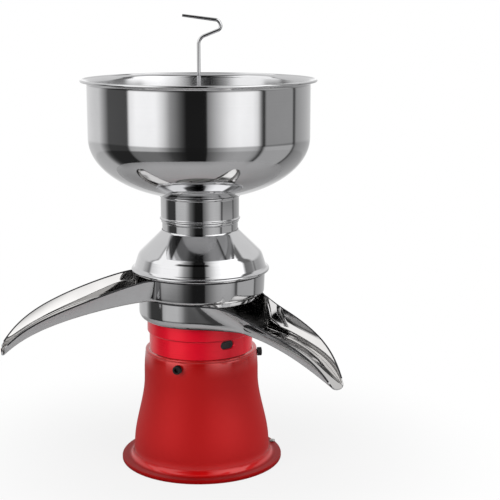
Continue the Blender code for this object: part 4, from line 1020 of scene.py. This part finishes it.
def bowl_curve(size, lift):
    """Rounded bottom from the straight wall in to the outlet."""
    points = []
    for angle in steps(0, math.acos(BOWL_OUTLET / size), BOWL_STEPS):
        radius = size * math.cos(angle)
        share = max(1 - (radius / size) ** BOWL_ROUNDNESS, 0)
        points.append((radius, BOWL_SPRING + lift - BOWL_DEPTH * share ** (1 / BOWL_ROUNDNESS)))
    return points


bead_centre = (BOWL_RADIUS + 0.0059, BOWL_RIM + 0.0002)
flange_centre = (BOWL_RADIUS + 0.0040, BOWL_RIM - 0.0046)
bowl_wall = steps(BOWL_RIM - 0.0100, BOWL_SPRING + 0.0004, 12)
bowl_outline = [
    *arc(bead_centre, (RIM_BEAD, RIM_BEAD), 165, -150, 22),
    *arc(flange_centre, (0.0040, 0.0032), 98, 180, 10),
    (BOWL_RADIUS, BOWL_RIM - 0.0070),
    *[(BOWL_RADIUS, z) for z in bowl_wall],
    *bowl_curve(BOWL_RADIUS, 0),
    *reversed(bowl_curve(BOWL_RADIUS - SHEET, SHEET)),
    *[(BOWL_RADIUS - SHEET, z) for z in reversed(bowl_wall)],
    *arc(flange_centre, (0.0052, 0.0046), 178, 105, 10),
]
satin, wire, place = finish("satin_stainless", metallic=1.0)
buff = place.grain(0.015, 3.0)
strokes = place.part(2).lines(0.0005)
wire(
    base_color=(buff * 0.5 + strokes * 0.5).tint((0.62, 0.62, 0.63), (0.74, 0.74, 0.75)),
    roughness=0.12 + buff * 0.03 + strokes * 0.03,
    normal=(strokes * 0.000004 - place.part(2) * SATIN_LEAN).bump(1.0),
)
bowl = spun("milk_bowl", bowl_outline, stainless, 192)
bowl.data.materials.append(satin)
for face in bowl.data.polygons:
    faces_in = face.normal.z * (face.center.z < BOWL_SPRING) > face.normal.xy.dot(face.center.xy)
    face.material_index = int(faces_in and face.center.xy.length < BOWL_RADIUS - SHEET * 0.6)
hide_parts("bowl")
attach(bowl, "bowl")


# Bowl collar: a ring foot of stainless sheet, soldered under the bowl, its edges rolled out. It slips over
# the float chamber's neck.
COLLAR_RADIUS = 0.0450
COLLAR_TOP = COLLAR_FOOT + 0.0280
collar = spun("bowl_collar_ring", rounded([
    (COLLAR_RADIUS + 0.0012, COLLAR_TOP, 0.0007),
    (COLLAR_RADIUS + 0.0012, COLLAR_TOP - 0.0016, 0.0007),
    (COLLAR_RADIUS, COLLAR_TOP - 0.0026, 0.0012),
    (COLLAR_RADIUS, COLLAR_FOOT + 0.0026, 0.0012),
    (COLLAR_RADIUS + 0.0012, COLLAR_FOOT + 0.0016, 0.0007),
    (COLLAR_RADIUS + 0.0012, COLLAR_FOOT, 0.0007),
    (COLLAR_RADIUS - 0.0008, COLLAR_FOOT, 0.0003),
    (COLLAR_RADIUS - 0.0008, COLLAR_TOP, 0.0003),
]), stainless, 128)
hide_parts("bowl_collar")
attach(collar, "bowl")


# Outlet seat: a flanged tube pressed into the bowl's bottom, with a window each side that the valve's
# plug opens.
SEAT_TOP = 0.3283
FLANGE_Z = SEAT_TOP - 0.0155
WINDOW_Z, WINDOW_WIDE, WINDOW_HIGH = SEAT_TOP - 0.0075, 0.007, 0.008
seat = spun("outlet_seat_tube", rounded([
    (0.0105, SEAT_TOP, 0.0006),
    (0.0105, FLANGE_Z + 0.002, 0.001),
    (0.0150, FLANGE_Z + 0.002, 0.0008),
    (0.0150, FLANGE_Z, 0.0002),
    (0.0105, FLANGE_Z, 0),
    (0.0105, 0.2858, 0.0005),
    (0.0060, 0.2858, 0.0005),
    (0.0060, SEAT_TOP - 0.020, 0.0003),
    (0.0083, SEAT_TOP - 0.020, 0),
    (0.0083, SEAT_TOP, 0.0006),
]), stainless, 64)
cut(seat, block((0, 0, WINDOW_Z), (WINDOW_WIDE, 0.06, WINDOW_HIGH)))
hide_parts("outlet_seat")
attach(seat, "bowl")


# Valve: a thimble plug that a quarter turn opens, and its handle, a stainless wire bent to a hook
# that stands up out of the bowl.
PLUG_TOP = SEAT_TOP + 0.0003
WIRE_RADIUS, WIRE_END = 0.0020, 0.0016
STEM_STEPS, HOOK_STEPS, WIRE_SIDES = 10, 12, 24
HOOK_Z = BOWL_RIM + 0.041
plug = spun("valve_plug_thimble", rounded([
    (0.0023, SEAT_TOP + 0.010, 0.0003),
    (0.0050, SEAT_TOP + 0.010, 0.0009),
    (0.0050, PLUG_TOP + 0.0025, 0.0012),
    (0.0095, PLUG_TOP + 0.0025, 0.0008),
    (0.0095, PLUG_TOP, 0.0003),
    (0.0080, PLUG_TOP, 0),
    (0.0080, SEAT_TOP - 0.0197, 0.0004),
    (0.0060, SEAT_TOP - 0.0197, 0.0004),
    (0.0060, PLUG_TOP - 0.002, 0.001),
    (0, PLUG_TOP - 0.002, 0),
    (0, PLUG_TOP + 0.002, 0),
    (0.0023, PLUG_TOP + 0.002, 0),
]), stainless, 64)
cut(plug, block((0, 0, WINDOW_Z), (0.06, WINDOW_WIDE, WINDOW_HIGH)))
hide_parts("valve_plug")
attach(plug, "valve")
bends = [
    (0, PLUG_TOP + 0.0023, 0),
    (0, HOOK_Z + 0.0056, 0.010),
    (0.0265, HOOK_Z + 0.0160, 0.0052),
    (0.0225, HOOK_Z + 0.0252, 0.0062),
    (-0.018, HOOK_Z + 0.0305, 0),
]
hook = []
for before, (x, z, fillet), after in zip(bends, bends[1:-1], bends[2:]):
    here = Vector((x, z))
    back = (Vector(before[:2]) - here).normalized()
    on = (Vector(after[:2]) - here).normalized()
    hook += fillet_arc(here, back, on, fillet, HOOK_STEPS)[0]
stem = [Vector(bends[0][:2]).lerp(hook[0], share) for share in steps(0, 1, STEM_STEPS)[:-1]]
rod_path = [Vector((p.x, 0, p.y)) for p in (*stem, *hook, Vector(bends[-1][:2]))]
last = len(rod_path) - 1
over = Vector((0, 1, 0))
rings = []
for i, point in enumerate(rod_path):
    ahead = (rod_path[min(i + 1, last)] - rod_path[max(i - 1, 0)]).normalized()
    size = WIRE_END if i in (0, last) else WIRE_RADIUS
    rings.append(hoop(point, ahead.cross(over), over, size, WIRE_SIDES))
mesh = bmesh.new()
loft(mesh, rings)
rod = shaped("valve_wire", mesh, stainless)
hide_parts("valve_rod")
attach(rod, "valve")


# Studio: a pale floor that keeps a soft shadow, and a world that lights the metal as a photographer's
# tent does: two softboxes beside the camera, dark flags between and outside them, white behind.
# The camera itself sees plain white.
FLOOR_RADIUS, FLOOR_GAP = 0.5, 0.0003
LAMP_AIM = Vector((0, 0, 0.2))
DEGREES = 180 / math.pi
floor_mesh = bmesh.new()
bmesh.ops.create_circle(floor_mesh, cap_ends=True, segments=96, radius=FLOOR_RADIUS)
bmesh.ops.translate(floor_mesh, verts=floor_mesh.verts, vec=(0, 0, -FLOOR_GAP))
floor_white = bpy.data.materials.new("studio_floor")
floor_white.use_nodes = True
tree = floor_white.node_tree
tree.nodes.clear()
place = Sock(tree.nodes.new("ShaderNodeTexCoord").outputs["Object"])
seen = place.node("ShaderNodeLightPath", {}, {})
paper = place.grain(0.02).tint((0.31, 0.31, 0.31), (0.34, 0.34, 0.34))
shade = place.node("ShaderNodeBsdfDiffuse", {}, {"Color": paper})
bright = place.node("ShaderNodeEmission", {}, {"Strength": 1.0})
mix = seen * (0.84 + 0.16 * axis_distance(place).rise(0.10, 0.40))
lit = place.node("ShaderNodeMixShader", {}, {0: mix, 1: shade, 2: bright})
clear = place.node("ShaderNodeBsdfTransparent", {}, {})
surface = place.node("ShaderNodeMixShader", {}, {0: axis_distance(place).rise(0.30, 0.75), 1: lit, 2: clear})
end = tree.nodes.new("ShaderNodeOutputMaterial")
tree.links.new(surface.output, end.inputs[0])
studio_floor = shaped("studio_floor", floor_mesh, floor_white)

world = bpy.data.worlds.new("studio")
world.use_nodes = True
bpy.context.scene.world = world
tree = world.node_tree
tree.nodes.clear()
look = Sock(tree.nodes.new("ShaderNodeTexCoord").outputs["Generated"])
turn = look.maths("ARCTAN2", look.part(0), 0 - look.part(1)) * DEGREES
tilt = look.maths("ARCSINE", look.part(2), 0) * DEGREES
aside = turn.maths("ABSOLUTE", turn, 0)


def panels(angle, brightness):
    """Brightness of the panels round the object, given as (angle from the front, value) corners."""
    ramp = angle.node("ShaderNodeValToRGB", {}, {0: (angle + 180) / 360})
    stops = ramp.output.node.color_ramp.elements
    while len(stops) < len(brightness):
        stops.new(1)
    for stop, (degrees, value) in zip(stops, brightness):
        stop.position = (degrees + 180) / 360
        stop.color = (value, value, value, 1)
    return ramp.node("ShaderNodeRGBToBW", {}, {0: ramp})


level = panels(turn, [
    (-180, 0.95), (-170, 0.85), (-160, 0.66), (-122, 0.58), (-104, 0.07), (-77, 0.06), (-74, 0.85),
    (-66, 1.0), (-44, 1.0), (-36, 0.68), (-29, 0.28), (-19, 0.08), (-13, 0.002), (7, 0.002), (8.5, 0.20),
    (20, 0.56), (30, 0.88), (40, 1.0), (55, 0.95), (61, 0.75), (65, 0.20), (67, 0.03), (69, 0.03),
    (71, 0.27), (109, 0.28), (111, 0.05), (113, 0.05), (116, 0.28), (160, 0.54), (170, 0.85), (180, 0.95),
])
above = panels(turn * (1 - 0.3 * tilt.rise(35, 60)), [
    (-180, 0.62), (-110, 0.62), (-102, 0.30), (-97, 1.0), (-42, 1.0), (-30, 0.35), (-18, 0.08),
    (-13, 0.01), (8, 0.01), (10, 0.25), (28, 0.95), (45, 1.3), (82, 1.3), (88, 0.14), (104, 0.14),
    (112, 0.62), (180, 0.62),
])
# Angles are in degrees, round from the front (turn) and up from level (tilt). The skirting dims the
# panels below the horizon, the gap is a dark flag above the camera, and the glow is light off the table.
back = aside.rise(108, 122)
low = tilt.rise(-16, -19) * (0.06 - 0.20 * turn.rise(-5, 10)) * (1 - back)
lower_step = tilt.rise(-19, -16) * (0.27 - 0.15 * back)
upper_step = tilt.rise(-9, -6) * (0.53 - 0.31 * back)
skirting = upper_step + lower_step + (0.20 + 0.46 * back) - low
raised = tilt.rise(2, 16)
gap = tilt.rise(23, 27) * tilt.rise(44, 38) * turn.rise(-54, -42) * turn.rise(20, 12)
walls = (level * (1 - raised) + above * raised) * skirting * (1.22 - 1.12 * gap)
ceiling = 0.10 + 0.5 * tilt.rise(75, 78) * aside.rise(100, 80)
high = tilt.rise(63, 72)
glow = 0.30 * tilt.rise(-8, -11) * turn.rise(66, 70) * turn.rise(114, 110) + 0.012 * tilt.rise(6, -6)
studio = walls * (1 - high) + ceiling * high + glow
seen = look.node("ShaderNodeLightPath", {}, {})
final = studio * (1 - seen) + seen
background = look.node("ShaderNodeBackground", {}, {0: final})
end = tree.nodes.new("ShaderNodeOutputWorld")
tree.links.new(background.output, end.inputs[0])

for name, x, energy in (("softbox_left", -1.1, 19), ("softbox_right", 1.1, 16)):
    lamp = bpy.data.lights.new(name, "AREA")
    lamp.shape = "RECTANGLE"
    lamp.size = 0.9
    lamp.size_y = 1.2
    lamp.energy = energy
    softbox = bpy.data.objects.new(name, lamp)
    softbox.location = (x, -0.9, 0.9)
    softbox.rotation_euler = (LAMP_AIM - softbox.location).to_track_quat("-Z", "Y").to_euler()
    softbox.visible_glossy = False
    softbox.visible_camera = False
    bpy.context.scene.collection.objects.link(softbox)
bpy.context.scene.view_settings.view_transform = "Standard"
